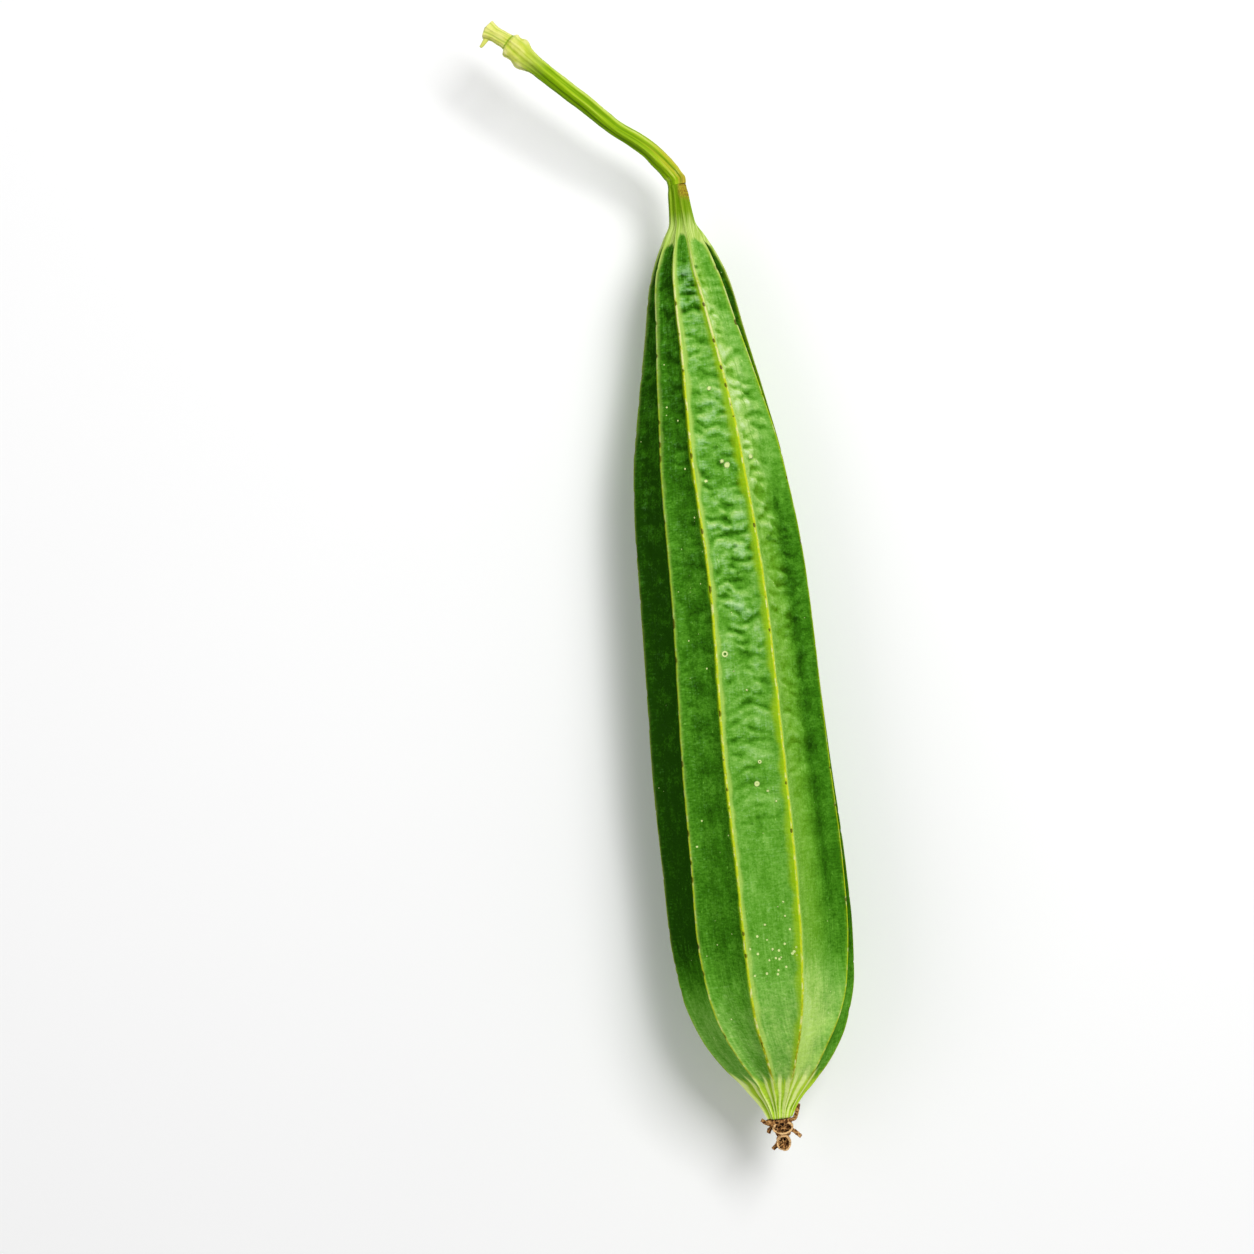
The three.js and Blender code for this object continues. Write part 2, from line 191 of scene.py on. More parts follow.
# The withered blossom, from the scar
CUP_DEPTH = 2.2
CUP_PROFILE = [(3.9, 0), (3.7, 0.8), (2.7, CUP_DEPTH)]
PETAL_WALL = 0.9
CURL_WALL = 1.15
CURL_TAPER = 0.45
POUCH_RIM_WAVE = 0.18
POUCHES = [
    {"middle": (0.7, -3), "reach": (3.1, 1.9), "height": 5.6, "waves": 3, "lean": 12},
    {"middle": (0.5, -7.9), "reach": (2.1, 2.5), "height": 4.8, "waves": 4, "lean": -14},
]
THREADS = 9
THREAD_RADII = (0.34, 0.26, 0.34)
THREAD_SEED = 7
RIM_LIGHT = 0.95
POUCH_SECTION = [
    (0.55, 0, -1), (1, 0.5, -0.7), (1, 0.6, 0.85), (1, 0.1, 1), (1, -0.45, 0.85), (0.9, -0.45, -0.3),
]
PETAL_CURLS = [
    (((-0.8, -7.2, 1.2), (-2, -8.8, 0.8), (-3.1, -9.6, 0.5)), 1.2),
    (((-1.8, -2.4, 0.8), (-4, -1.4, 1), (-5.9, -0.1, 0.9)), 1.1),
    (((-1.6, -2.6, -1), (-3.2, -3.3, -0.6), (-4, -4.5, 0)), 1.0),
    (((2.4, -3.2, 0.6), (4.4, -4.7, 1), (6.2, -6.5, 0.6)), 1.1),
    (((3.2, -1.4, -0.8), (4.9, -0.6, -1.4), (5.8, 1.4, -2.6), (6.6, 3.4, -3.4)), 0.9),
    (((0.2, -1.6, -2), (-1.2, -4, -4.4), (-0.4, -6.6, -4)), 1.5),
    (((1.6, -2, -1.8), (3, -3.6, -4.2), (2.4, -6.4, -4.8)), 1.3),
]

# The photograph's view: its width where the gourd's outline lies, what its middle looks at, its roll
VIEW_WIDTH = 401.3
VIEW_AIM = (-31.6, 160.8)
VIEW_ROLL = math.radians(-6.14)
VIEW_DISTANCE = 1100.0
SENSOR_WIDTH = 36.0

# The table and its lights, in metres
TABLE_HALF = 3.0
LIGHT_AIM = (0, 0, 0.03)
KEY_PLACE, KEY_SIZE = (0.5, 0.42, 1.2), 0.6
FILL_PLACE, FILL_SIZE = (-0.8, 0.1, 1.0), 0.8


def smoothstep(x, low, high):
    """0 at low, 1 at high and smooth between them."""
    t = np.clip((x - low) / (high - low), 0, 1)
    return t * t * (3 - 2 * t)


def hump(x, middle, half):
    """1 in the middle, about a third at the half width and nearly nothing at twice that."""
    return np.exp(-((x - middle) / half) ** 2)


def smooth_line(points):
    """A smooth line through (x, y) points that never swings past them."""
    xs, ys = np.array(points, float).T
    slopes = np.diff(ys) / np.diff(xs)
    before = np.concatenate((slopes[:1], slopes))
    after = np.concatenate((slopes, slopes[-1:]))
    same_way = before * after > 0
    total = np.where(same_way, before + after, 1)
    tangents = np.where(same_way, 2 * before * after / total, 0)

    def line(x):
        i = np.clip(np.searchsorted(xs, x, side="right") - 1, 0, len(xs) - 2)
        width = xs[i + 1] - xs[i]
        s = (x - xs[i]) / width
        from_here = (1 + 2 * s) * (1 - s) ** 2 * ys[i] + s * (1 - s) ** 2 * width * tangents[i]
        from_next = s * s * (3 - 2 * s) * ys[i + 1] - s * s * (1 - s) * width * tangents[i + 1]
        return from_here + from_next

    return line


def waves(x, y, seed):
    """Smooth irregular waves over a plane, about -1 to 1, the same on each run."""
    column, row = np.floor(x), np.floor(y)
    u, v = x - column, y - row

    def pull(a, b):
        turn = np.sin((column + a) * 127.1 + (row + b) * 311.7 + seed * 74.7) * 43758.5453
        turn = 2 * np.pi * (turn - np.floor(turn))
        return np.cos(turn) * (u - a) + np.sin(turn) * (v - b)

    ease_u, ease_v = (t * t * t * (t * (6 * t - 15) + 10) for t in (u, v))
    low = pull(0, 0) * (1 - ease_u) + pull(1, 0) * ease_u
    high = pull(0, 1) * (1 - ease_u) + pull(1, 1) * ease_u
    return 1.6 * (low * (1 - ease_v) + high * ease_v)


def place(across, along, up):
    """From the gourd's own axes to the way it lies, in metres."""
    y = along * math.cos(REST_TILT) + up * math.sin(REST_TILT) - MIDDLE[1]
    z = up * math.cos(REST_TILT) - along * math.sin(REST_TILT) + SCAR_HEIGHT
    return np.stack(np.broadcast_arrays(across - MIDDLE[0], y, z), axis=-1) * MM


def spread_over(values, shape):
    """Each of the named values, spread over rows and columns."""
    return {name: np.broadcast_to(value, shape) for name, value in values.items()}


crest_radius = smooth_line(CREST_RADIUS)
axis_across = smooth_line(AXIS_ACROSS)


def route_points(points, places):
    """Points, and the directions there, of an evenly stepped curve through the points given."""
    points = np.asarray(points, float)
    padded = np.vstack((2 * points[0] - points[1], points, 2 * points[-1] - points[-2]))
    i = np.clip(places.astype(int), 0, len(points) - 2)
    t = (places - i)[:, None]
    a, b, c, d = (padded[i + k] for k in range(4))
    linear, square, cube = (c - a) / 2, a - 2.5 * b + 2 * c - d / 2, (d - a) / 2 + 1.5 * (b - c)
    return b + t * (linear + t * (square + t * cube)), linear + t * (2 * square + t * 3 * cube)


def tube_frames(centres, directions):
    """Two directions square to a route at each of its points, turned so that they never twist."""
    side = np.array([0.0, 0.0, 1.0])
    sides = []
    tangents = directions / np.linalg.norm(directions, axis=1)[:, None]
    for tangent in tangents:
        side = side - tangent * side.dot(tangent)
        side = side / np.linalg.norm(side)
        sides.append(side)
    sides = np.array(sides)
    return sides, np.cross(tangents, sides)


def ring_points(centres, directions, wide, deep):
    """Rows of points round a route, by how far each lies off it in the two directions square to it."""
    sides, others = tube_frames(centres, directions)
    return centres[:, None] + MM * (wide[..., None] * sides[:, None] + deep[..., None] * others[:, None])


def make_object(name, points, faces, uv, values, domain, material):
    """A mesh object with flat caps of triangles, its UV map and the numbers that its finish follows."""
    mesh = bpy.data.meshes.new(name)
    mesh.from_pydata(points.tolist(), [], faces)
    mesh.uv_layers.new(name="OFBake").data.foreach_set("uv", uv.astype(np.float32).ravel())
    for key, value in values.items():
        mesh.attributes.new(key, "FLOAT", domain).data.foreach_set("value", value.astype(np.float32))
    mesh.polygons.foreach_set("use_smooth", [len(face) == 4 for face in faces])
    mesh.materials.append(material)
    mesh.update()
    piece = bpy.data.objects.new(name, mesh)
    bpy.context.scene.collection.objects.link(piece)
    return piece


class Skin:
    """Closed bodies made of rows of points, with a fan over each end and values at their points."""

    def __init__(self):
        self.points, self.faces, self.uvs, self.values = [], [], [], []
        self.count = 0

    def add(self, rows, ends, values, uv_box):
        """Adds one closed body. values maps a name to one number for each point of the rows."""
        height, width = rows.shape[:2]
        start, inner = self.count, height * width
        points = np.vstack((rows.reshape(-1, 3), ends))
        self.points.append(points)
        self.count += len(points)
        row, column = np.meshgrid(np.arange(height - 1), np.arange(width), indexing="ij")
        beside = (column + 1) % width
        quads = np.stack((row * width + column, row * width + beside, (row + 1) * width + beside,
                          (row + 1) * width + column), axis=-1).reshape(-1, 4)
        u = np.stack((column, column + 1, column + 1, column), axis=-1).reshape(-1, 4) / width
        v = np.stack((row, row, row + 1, row + 1), axis=-1).reshape(-1, 4) / (height - 1)
        column = np.arange(width)
        beside = (column + 1) % width
        edge = inner - width
        low_fan = np.stack((np.full(width, inner), beside, column), axis=-1)
        low_u = np.stack((column + 0.5, column + 1, column), axis=-1) / width
        high_fan = np.stack((np.full(width, inner + 1), edge + column, edge + beside), axis=-1)
        high_u = np.stack((column + 0.5, column, column + 1), axis=-1) / width
        step = -1 if self._inside_out(points, quads) else 1
        left, low, right, high = uv_box
        for faces, face_u, face_v in (
                (quads, u, v), (low_fan, low_u, 0 * low_u), (high_fan, high_u, 0 * high_u + 1)):
            self.faces += (faces[:, ::step] + start).tolist()
            spread = np.stack((left + face_u * (right - left), low + face_v * (high - low)), axis=-1)
            self.uvs.append(spread[:, ::step].reshape(-1, 2))
        self.values.append({
            name: np.concatenate((value.ravel(), value[[0, -1]].mean(1))) for name, value in values.items()})

    @staticmethod
    def _inside_out(points, quads):
        a, b, c, d = (points[quads[:, k]] for k in range(4))
        centre = points.mean(0)
        area = np.cross(c - a, d - b)
        return ((a - centre) * area).sum() < 0

    def mesh_object(self, name, material):
        values = {key: np.concatenate([body[key] for body in self.values]) for key in self.values[0]}
        return make_object(
            name, np.vstack(self.points), self.faces, np.vstack(self.uvs), values, "POINT", material)


def finish_piece(piece, node):
    """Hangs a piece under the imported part's root body and hides the node that it stands for."""
    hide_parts(node)
    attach(piece, "root")
    return piece


# The fruit's skin

def ridge_angle(ridge, along):
    """A ridge's direction in radians from straight up; ridge may be one past the last."""
    own = ridge % RIDGES
    turns = ridge // RIDGES
    station = np.clip(along, RIDGE_STATIONS[0], RIDGE_STATIONS[-1])
    lines = [smooth_line(list(zip(RIDGE_STATIONS, row)))(station[:, 0]) for row in RIDGE_DEGREES]
    sway = SWAY_DEGREES * np.sin(along / SWAY_LENGTH + own * SWAY_STEP)
    jitter = 0.22 * waves(along / 4.5, own * 5.3 + 0.5, 3)
    return np.radians(np.stack(lines, axis=-1)[:, own[0]] + 360 * turns + sway + jitter)


def crest_nicks(ridge, along, density):
    """How deep a ridge's crest is nicked, from 0 to 1."""
    own = ridge % RIDGES
    fine = waves(along / 3, own * 9.1 + 0.5, 11)
    patchy = waves(along / 17, own * 3.7 + 0.5, 12)
    return smoothstep(fine + 0.35 * patchy, 1.02 - density, 1.22 - density)


def panel_columns():
    """The panel and the share of its width for each column, both edges included, fine at the crests."""
    panels, shares, joins = [], [], []
    for panel in range(RIDGES):
        steps = FACING_STEPS if panel in FACING_PANELS else FAR_STEPS
        even = np.arange(steps + 1) / steps
        panels += [panel] * (steps + 1)
        shares += list(even - CREST_CROWDING * np.sin(2 * np.pi * even))
        joins += [True] * steps + [False]
    return np.array(panels), np.array(shares), np.array(joins)


def skin_relief(panel, share, along, arc, shape):
    """Relief between the ridges in millimetres, how lumpy each spot is and how deep in a dent."""
    across = (share - 0.5) * arc
    window = np.sin(np.pi * np.clip(share, 0, 1))
    inner = smoothstep(np.minimum(share, 1 - share), 0.04, 0.18)
    smoother = (panel == STRIPE_PANEL) * smoothstep(share, 0.42, 0.6)
    smoother = smoother * (1 - smoothstep(along, 195, 225))
    strength = PANELS[panel, 0] * (1 - 0.6 * smoother)
    upper = smoothstep(along, 72, 118) * (1 - smoothstep(along, 266, 284))
    upper = upper * (0.4 + 0.6 * smoothstep(along, 110, 185))
    seed = panel * 13.7
    bent = along + 1.5 * waves(across / 8 + seed, along / 11, 21)
    bent = bent + 0.5 * waves(across / 3 + seed, along / 4.5, 26)
    aside = across + 1.5 * waves(across / 6 + seed, along / 8, 27)
    broad = waves(aside / 6.4 + seed, bent / 2.7, 22)
    small = waves(aside / 3.3 + seed, bent / 1.7, 23)
    patch = 0.4 + 0.6 * smoothstep(waves(across / 11 + seed, along / 16, 24), -0.6, 0.4)
    dents = smoothstep(-broad, 0.16, 0.6) + 0.4 * smoothstep(-small, 0.2, 0.6)
    wrinkles = (0.55 * broad + 0.32 * small - 0.5 * dents + 0.18) * patch
    fine = shape.wrinkle_depth / MM * strength * upper * inner * wrinkles
    lumps = 0.22 * waves(across / 6 + seed, along / 9, 25) * inner * smoothstep(along, 8, 30)
    coarse = WRINKLE_DEPTH * np.sin(2 * np.pi * along / WRINKLE_PITCH + panel * WRINKLE_STEP)
    coarse = coarse * smoothstep(along, *WRINKLE_START) * (1 - smoothstep(along, *WRINKLE_STOP))
    coarse = coarse * window ** 2
    inward = strength * upper * inner
    return coarse * 0.6 + lumps + fine, np.maximum(wrinkles * inward, -0.4), dents * patch * inward


def tip_rays(panel, share, along):
    """The rays that run together at the blossom scar, from -1 in their slits to 1 on their tops."""
    return np.cos(4 * np.pi * share + 0.9 * waves(panel * 3.3 + 0 * share, along / 5, 71) + panel)


def fruit_skin(shape):
    """Every column and row of the fruit's skin: its points and the values that its colours follow."""
    panel, share, joins = panel_columns()
    along = np.linspace(0, FRUIT_LENGTH, shape.rows)[:, None]
    panel, share = panel[None, :], share[None, :]
    start, end = ridge_angle(panel, along), ridge_angle(panel + 1, along)
    radius = crest_radius(along)
    height = shape.ridge_height / MM
    height = height * np.tanh(RIDGE_HEIGHT_SHARE * radius / height)
    arc = radius * (end - start)
    from_crest = np.minimum(share, 1 - share) * arc
    blunt = CREST_SHARE * arc
    foot = np.minimum(RIDGE_FOOT, RIDGE_FOOT_SHARE * arc)
    flank = height * (1 - np.clip((from_crest - blunt) / foot, 0, 1)) ** 2
    flank = flank - CREST_DIP * np.minimum(from_crest / blunt, 1) ** 2 * height
    half = (end - start) / 2
    sag = PANEL_FLATNESS * (1 - np.cos(half) / np.cos((2 * share - 1) * half))
    relief, lumpy, dents = skin_relief(panel, share, along, arc, shape)
    lit = np.clip(-np.gradient(relief, FRUIT_LENGTH / (shape.rows - 1), axis=0), *LIT_SLOPES)
    rays = tip_rays(panel, share, along)
    relief = relief + 0.22 * rays * smoothstep(along, 0.5, 3) * (1 - smoothstep(along, 8, 17))
    nearest = np.where(share < 0.5, panel, panel + 1) % RIDGES
    nicks = crest_nicks(nearest, along, shape.nick_density)
    nicks = nicks * (1 - smoothstep(from_crest, 0.2, 0.75)) * smoothstep(along, 16, 34)
    nicks = nicks * np.where(share < 0.5, 0.45, 1)
    nicks = nicks * (1 - smoothstep(along, 276, 286))
    reach = (radius - height) * (1 - sag) + flank + relief - shape.nick_depth / MM * nicks
    reach = reach + (RING_RADIUS - reach) * smoothstep(along, *RING_STRETCH)
    angle = start + share * (end - start)
    points = place(axis_across(along) + reach * np.sin(angle), along, reach * np.cos(angle))
    points[..., 2] = np.maximum(points[..., 2], 0)
    values = {
        "skin_across": share * arc, "skin_along": along, "skin_panel": panel * 37.0,
        "from_crest": from_crest, "lumpy": lumpy, "nicked": nicks, "rays": rays,
        # Painted light and shade: the panel's tone, painted shade in the dents and painted light on the
        # wrinkles' slopes
        "tone": skin_tone(panel, share, along) - 0.05 * dents + LIT_SHARE * lit,
        "shoulder": shoulder_band(panel, share, along, from_crest),
        "speckled": speckled(panel, along),
        "frosty": PANELS[panel, 6] * (1 - 0.7 * smoothstep(share, 0.3, 0.8) * (panel != MIDDLE_PANEL)),
        "creased": ((panel == STRIPE_PANEL) * smoothstep(along, 118, 140)
                    * (1 - smoothstep(along, 232, 252))),
    }
    values.update(crest_bands(panel, share, along, from_crest, nearest, arc))
    return points, spread_over(values, arc.shape), joins


def skin_tone(panel, share, along):
    """How light the green is, from 0 to 1, with painted light and shade, by each panel's own run from left
    to right and along.
    """
    left, middle, right, blossom_end, shoulder = PANELS[panel, 1:6].transpose(2, 0, 1)
    half = 2 * share - 1
    run = middle + np.where(half < 0, (left - middle) * -half, (right - middle) * half)
    run = run + blossom_end * smoothstep(along, *BLOSSOM_END) + shoulder * smoothstep(along, *SHOULDER)
    # Painted shade under the shoulder, and a narrower band of it across the middle panel
    painted_shade = SHOULDER_SHADE[panel] * hump(along, *SHOULDER_SHADE_PLACE) * np.sin(np.pi * share)
    painted_shade = painted_shade + SECOND_SHADE * (panel == MIDDLE_PANEL) * hump(along, *SECOND_SHADE_PLACE)
    wandering = share + 0.05 * waves(along / 14, 0 * share, 74)
    # Painted shade in a stripe along the panel to the right of the middle one
    shade_stripe = STRIPE_SHADE * (panel == STRIPE_PANEL) * hump(wandering, *STRIPE_PLACE)
    return run - painted_shade - shade_stripe * smoothstep(along, 56, 84) * (1 - smoothstep(along, 188, 212))


def crest_bands(panel, share, along, from_crest, nearest, arc):
    """How strongly a pale band of painted light, a yellow-green slope and the crest's own line show at each
    spot.
    """
    pale_width, pale, slope_width, slope = PANEL_EDGES[panel].transpose(2, 0, 1)
    left = share < 0.5
    uneven = 1 + 0.4 * waves(along / 5, panel * 2.3 + left * 1.7, 72)
    uneven = uneven * (1 + 0.2 * smoothstep(along, 190, 215))
    pale_width = np.minimum(pale_width * uneven, 0.1 * arc)
    slope_width = np.minimum(slope_width * uneven, 0.13 * arc)
    pale = pale * (1 - smoothstep(from_crest / pale_width, 0.75, 1.9)) * left
    slope = slope * (1 - smoothstep(from_crest / slope_width, 0.3, 1.5)) * ~left
    slope = np.maximum(slope, 0.16 * (panel == STRIPE_PANEL) * (1 - smoothstep(share, 0.2, 0.7)))
    low, high = CREST_LINES[nearest].transpose(2, 0, 1)
    line = low + (high - low) * smoothstep(along, 75, 130)
    return {"pale_band": pale, "slope_band": slope, "crest_line": line}


def shoulder_band(panel, share, along, from_crest):
    """The pale skin where the ridges run up into the neck: each panel's dark green ends in a round arch."""
    round_top = 1 - np.sqrt(1 - (2 * share - 1) ** 2)
    arch = SHOULDER_ARCHES[panel] - 5 * round_top + 0.9 * waves(panel * 5.1 + 3 * share, 0 * along, 73)
    above = smoothstep(along, arch - 0.8, arch + 0.6)
    width = 0.25 + 0.2 * smoothstep(along, 262, 283)
    rib = (1 - smoothstep(from_crest, width - 0.2, width + 0.3)) * smoothstep(along, 258, 280)
    return np.maximum(above, 0.9 * rib)


def speckled(panel, along):
    """How thickly pale specks are strewn: most of all in a patch low on the panel that faces up."""
    return 0.12 + 0.1 * (panel == LEFT_PANEL) + (panel == MIDDLE_PANEL) * hump(along, *SPECK_PLACE)


def fruit_mesh(shape, material):
    """One closed mesh of the skin, its values kept on the face corners so that panels meet sharply."""
    points, values, joins = fruit_skin(shape)
    rows, width = len(points), int(joins.sum())
    strip = np.nonzero(joins)[0]
    own = np.where(joins, np.cumsum(joins) - 1, -1)
    own[~joins] = (own[np.nonzero(~joins)[0] - 1] + 1) % width
    kept = points[:, joins].reshape(-1, 3)
    first, edge = len(kept), (rows - 1) * width
    ends = np.stack((place(0, 0, 0), place(axis_across(FRUIT_LENGTH), FRUIT_LENGTH, 0)))
    row, column = np.meshgrid(np.arange(rows - 1), strip, indexing="ij")
    quad_rows = np.stack((row, row, row + 1, row + 1), axis=-1).reshape(-1, 4)
    quad_strips = np.stack((column, column + 1, column + 1, column), axis=-1).reshape(-1, 4)
    low_strips = np.stack((strip, strip + 1, strip), axis=-1)
    high_strips = np.stack((strip, strip, strip + 1), axis=-1)
    quads = quad_rows * width + own[quad_strips]
    low = np.stack((np.full(width, first), own[strip + 1], own[strip]), axis=-1)
    high = np.stack((np.full(width, first + 1), edge + own[strip], edge + own[strip + 1]), axis=-1)
    past_seam = (quad_strips > quad_strips[:, :1]) * (own[quad_strips] == 0)
    faces, uvs, corners = [], [], {name: [] for name in values}
    for part, at_rows, at_strips, u in (
            (quads, quad_rows, quad_strips, own[quad_strips] + past_seam * width),
            (low, 0 * low_strips, low_strips, own[strip][:, None] + (0.5, 1, 0)),
            (high, 0 * high_strips + rows - 1, high_strips, own[strip][:, None] + (0.5, 0, 1))):
        faces += part[:, ::-1].tolist()
        uvs.append(np.stack((u / width, at_rows / (rows - 1)), axis=-1)[:, ::-1].reshape(-1, 2))
        for name, value in values.items():
            corners[name].append(value[at_rows, at_strips][:, ::-1].ravel())
    corners = {name: np.concatenate(parts) for name, parts in corners.items()}
    return make_object(
        "gourd_fruit", np.vstack((kept, ends)), faces, np.vstack(uvs), corners, "CORNER", material)


# The stalk

def stalk_rings(shape):
    """The stalk's rows of points, and for each point its place along, its rib and how knobbly it is."""
    spans = len(STALK_ROUTE) - 1
    places = np.linspace(0, spans, shape.stalk_rows)
    centres, directions = route_points(place(*STALK_ROUTE[:, :3].T), places)
    angle = np.linspace(0, 2 * np.pi, shape.stalk_columns, endpoint=False)[None, :]
    position = places[:, None]
    plain = smooth_line([(i, row[3]) for i, row in enumerate(STALK_ROUTE)])(position)
    turned = angle + 0.25 * np.sin(position / 3.1)
    rib = np.cos(STALK_RIBS * turned)
    fine_rib = np.cos(15 * turned + 0.9 * np.sin(position / 2.3))
    knobs = np.zeros_like(rib + position)
    for at, degrees, height in NODE_LOBES:
        away = np.angle(np.exp(1j * (angle - math.radians(degrees))))
        knobs = knobs + height * hump(position, at, LOBE_LENGTH) * hump(away, 0, LOBE_WIDTH)
    around = plain * angle
    rough = 0.04 * waves(around / 0.7, position * 5.5, 31) + 0.07 * waves(around / 2, position * 1.4, 32)
    rings = sum(height * hump(position, at, half) for at, half, height in STALK_COLLARS)
    ribs = (STALK_RIB_SHARE * 0.7 * rib * plain + 0.08 * fine_rib) * smoothstep(position, 0, 0.7)
    shrunk = 1 - 0.09 * smoothstep(position, 15.5, 17)
    reach = (plain + ribs + knobs + rough + rings) * shrunk
    points = ring_points(centres, directions, reach * np.cos(angle), reach * np.sin(angle))
    values = {
        "stalk_place": position, "stalk_rib": rib + 0.35 * fine_rib, "stalk_up": np.cos(angle),
        "stalk_out": np.sin(angle), "knobbly": knobs,
    }
    outward = directions[-1] / np.linalg.norm(directions[-1])
    ends = np.stack((centres[0], centres[-1] + outward * CUT_BULGE * MM))
    return points, ends, spread_over(values, reach.shape)


def thin_tube(route, radii, rows, columns):
    """A tapering tube through the route's points, in metres."""
    spans = len(route) - 1
    places = np.linspace(0, spans, rows)
    centres, directions = route_points(route, places)
    angle = np.linspace(0, 2 * np.pi, columns, endpoint=False)
    reach = smooth_line(list(enumerate(radii)))(places)[:, None]
    points = ring_points(centres, directions, reach * np.cos(angle), reach * np.sin(angle))
    return points, np.stack((centres[0], centres[-1]))


# The withered blossom

def cup_rings():
    """The crumpled cup that the petals grow from."""
    depths = np.linspace(0, CUP_DEPTH, 14)
    radius = smooth_line([(depth, radius) for radius, depth in CUP_PROFILE])(depths)[:, None]
    angle = np.linspace(0, 2 * np.pi, 72, endpoint=False)[None, :]
    crumple = 1 + 0.07 * np.sin(3 * angle) + 0.05 * np.cos(5 * angle)
    crumple = crumple + 0.05 * waves(angle * 6, depths[:, None] * 1.2, 41)
    depths = depths[:, None]
    points = place(radius * crumple * np.sin(angle), -PIECE_GAP - depths, radius * crumple * np.cos(angle))
    ends = np.stack((place(0, -PIECE_GAP, 0), place(0, -PIECE_GAP - CUP_DEPTH, 0)))
    # The whole cup carries a little painted shade
    return points, ends, 0.25, angle


def pouch_rings(pouch, seed):
    """A petal curled up into a pouch that is open towards the sky, crumpled all over."""
    section = np.array(POUCH_SECTION, float)
    places = np.linspace(0, len(section) - 1, 44)
    along_section, _ = route_points(section, places)
    share, outward, level = along_section.T[:, :, None]
    turn = np.linspace(0, 2 * np.pi, 110, endpoint=False)[None, :]
    up = level * pouch["height"] / 2 * (1 + POUCH_RIM_WAVE * np.sin(pouch["waves"] * turn))
    fold = 0.28 * waves(turn * 3.3, places[:, None] * 0.7, seed)
    fold = fold + 0.14 * waves(turn * 9, places[:, None] * 1.1, seed + 1)
    fold = fold * np.abs(np.sin(turn / 2))
    out = outward * PETAL_WALL + 0.8 * fold - 0.3
    tilt = math.radians(pouch["lean"])
    x = (pouch["reach"][0] * share + out) * np.cos(turn)
    y = (pouch["reach"][1] * share + out) * np.sin(turn)
    across, along = pouch["middle"]
    points = place(across + x, along + y * math.cos(tilt), up - y * math.sin(tilt))
    floor = section[-1, 2] * pouch["height"] / 2
    ends = np.stack((place(across, along, -pouch["height"] / 2), place(across, along, floor)))
    # Painted shade deep in the pouch, and painted light, as negative shade, along its rim
    hollow = smoothstep(places, 3.2, 3.9) - RIM_LIGHT * hump(places, 2.6, 0.75)
    return points, ends, hollow[:, None], turn


def curl_rings(route, half, seed):
    """A shrivelled petal: a thin curved blade that tapers, with a ruffled edge."""
    spans = len(route) - 1
    places = np.linspace(0, spans, 34)
    centres, directions = route_points(place(*np.array(route, float).T), places)
    angle = np.linspace(0, 2 * np.pi, 28, endpoint=False)[None, :]
    share = (places / spans)[:, None]
    taper = 1 - CURL_TAPER * share ** 2
    ruffle = 1 + 0.22 * waves(share * 9, np.sign(np.cos(angle)) + 1.5, seed)
    wide = np.cos(angle) * half * taper * ruffle
    lift = 0.3 * CURL_WALL * np.cos(angle) ** 2 + 0.16 * waves(share * 7, angle * 1.5, seed + 1)
    deep = np.sin(angle) * CURL_WALL * 0.5 * ruffle + lift
    # Painted shade over the blade's faces, none at its edges
    edge = 0.35 - 0.35 * np.abs(np.cos(angle))
    points = ring_points(centres, directions, wide, deep)
    return points, np.stack((centres[0], centres[-1])), edge, angle


def thread_routes(rng):
    """Dry threads that cross the pouches below their rims."""
    routes = []
    for pouch in POUCHES:
        reach, half = np.array(pouch["reach"]), pouch["height"] / 2
        middle = np.array(pouch["middle"])
        for _ in range(THREADS):
            start = rng.uniform(0, 2 * np.pi)
            end = start + rng.uniform(1.7, 3.6)
            rims = [middle + reach * 0.95 * (math.cos(turn), math.sin(turn)) for turn in (start, end)]
            between = (rims[0] + rims[1]) / 2 + rng.normal(0, 0.35, 2)
            levels = half * rng.uniform((0.35, 0.0, 0.35), (0.75, 0.45, 0.75))
            routes.append([(*rims[0], levels[0]), (*between, levels[1]), (*rims[1], levels[2])])
    return routes


# Shader sums written as Python expressions

class Channel:
    """One value of a shader, on which sums can be written."""

    def __init__(self, finish, socket):
        self.finish, self.socket = finish, socket

    def sum(self, operation, *values):
        return self.finish.node("ShaderNodeMath", {"operation": operation}, dict(enumerate(values)))

    def __add__(self, other):
        return self.sum("ADD", self, other)

    def __sub__(self, other):
        return self.sum("SUBTRACT", self, other)

    def __rsub__(self, other):
        return self.sum("SUBTRACT", other, self)

    def __mul__(self, other):
        return self.sum("MULTIPLY", self, other)

    def __truediv__(self, other):
        return self.sum("DIVIDE", self, other)

    def __abs__(self):
        return self.sum("ABSOLUTE", self)

    __radd__ = __add__

    def least(self, other):
        return self.sum("MINIMUM", self, other)

    def most(self, other):
        return self.sum("MAXIMUM", self, other)

    def step(self, low, high):
        """0 at low, 1 at high and smooth between them."""
        limits = {"Value": self, "From Min": low, "From Max": high}
        return self.finish.node("ShaderNodeMapRange", {"interpolation_type": "SMOOTHSTEP"}, limits)


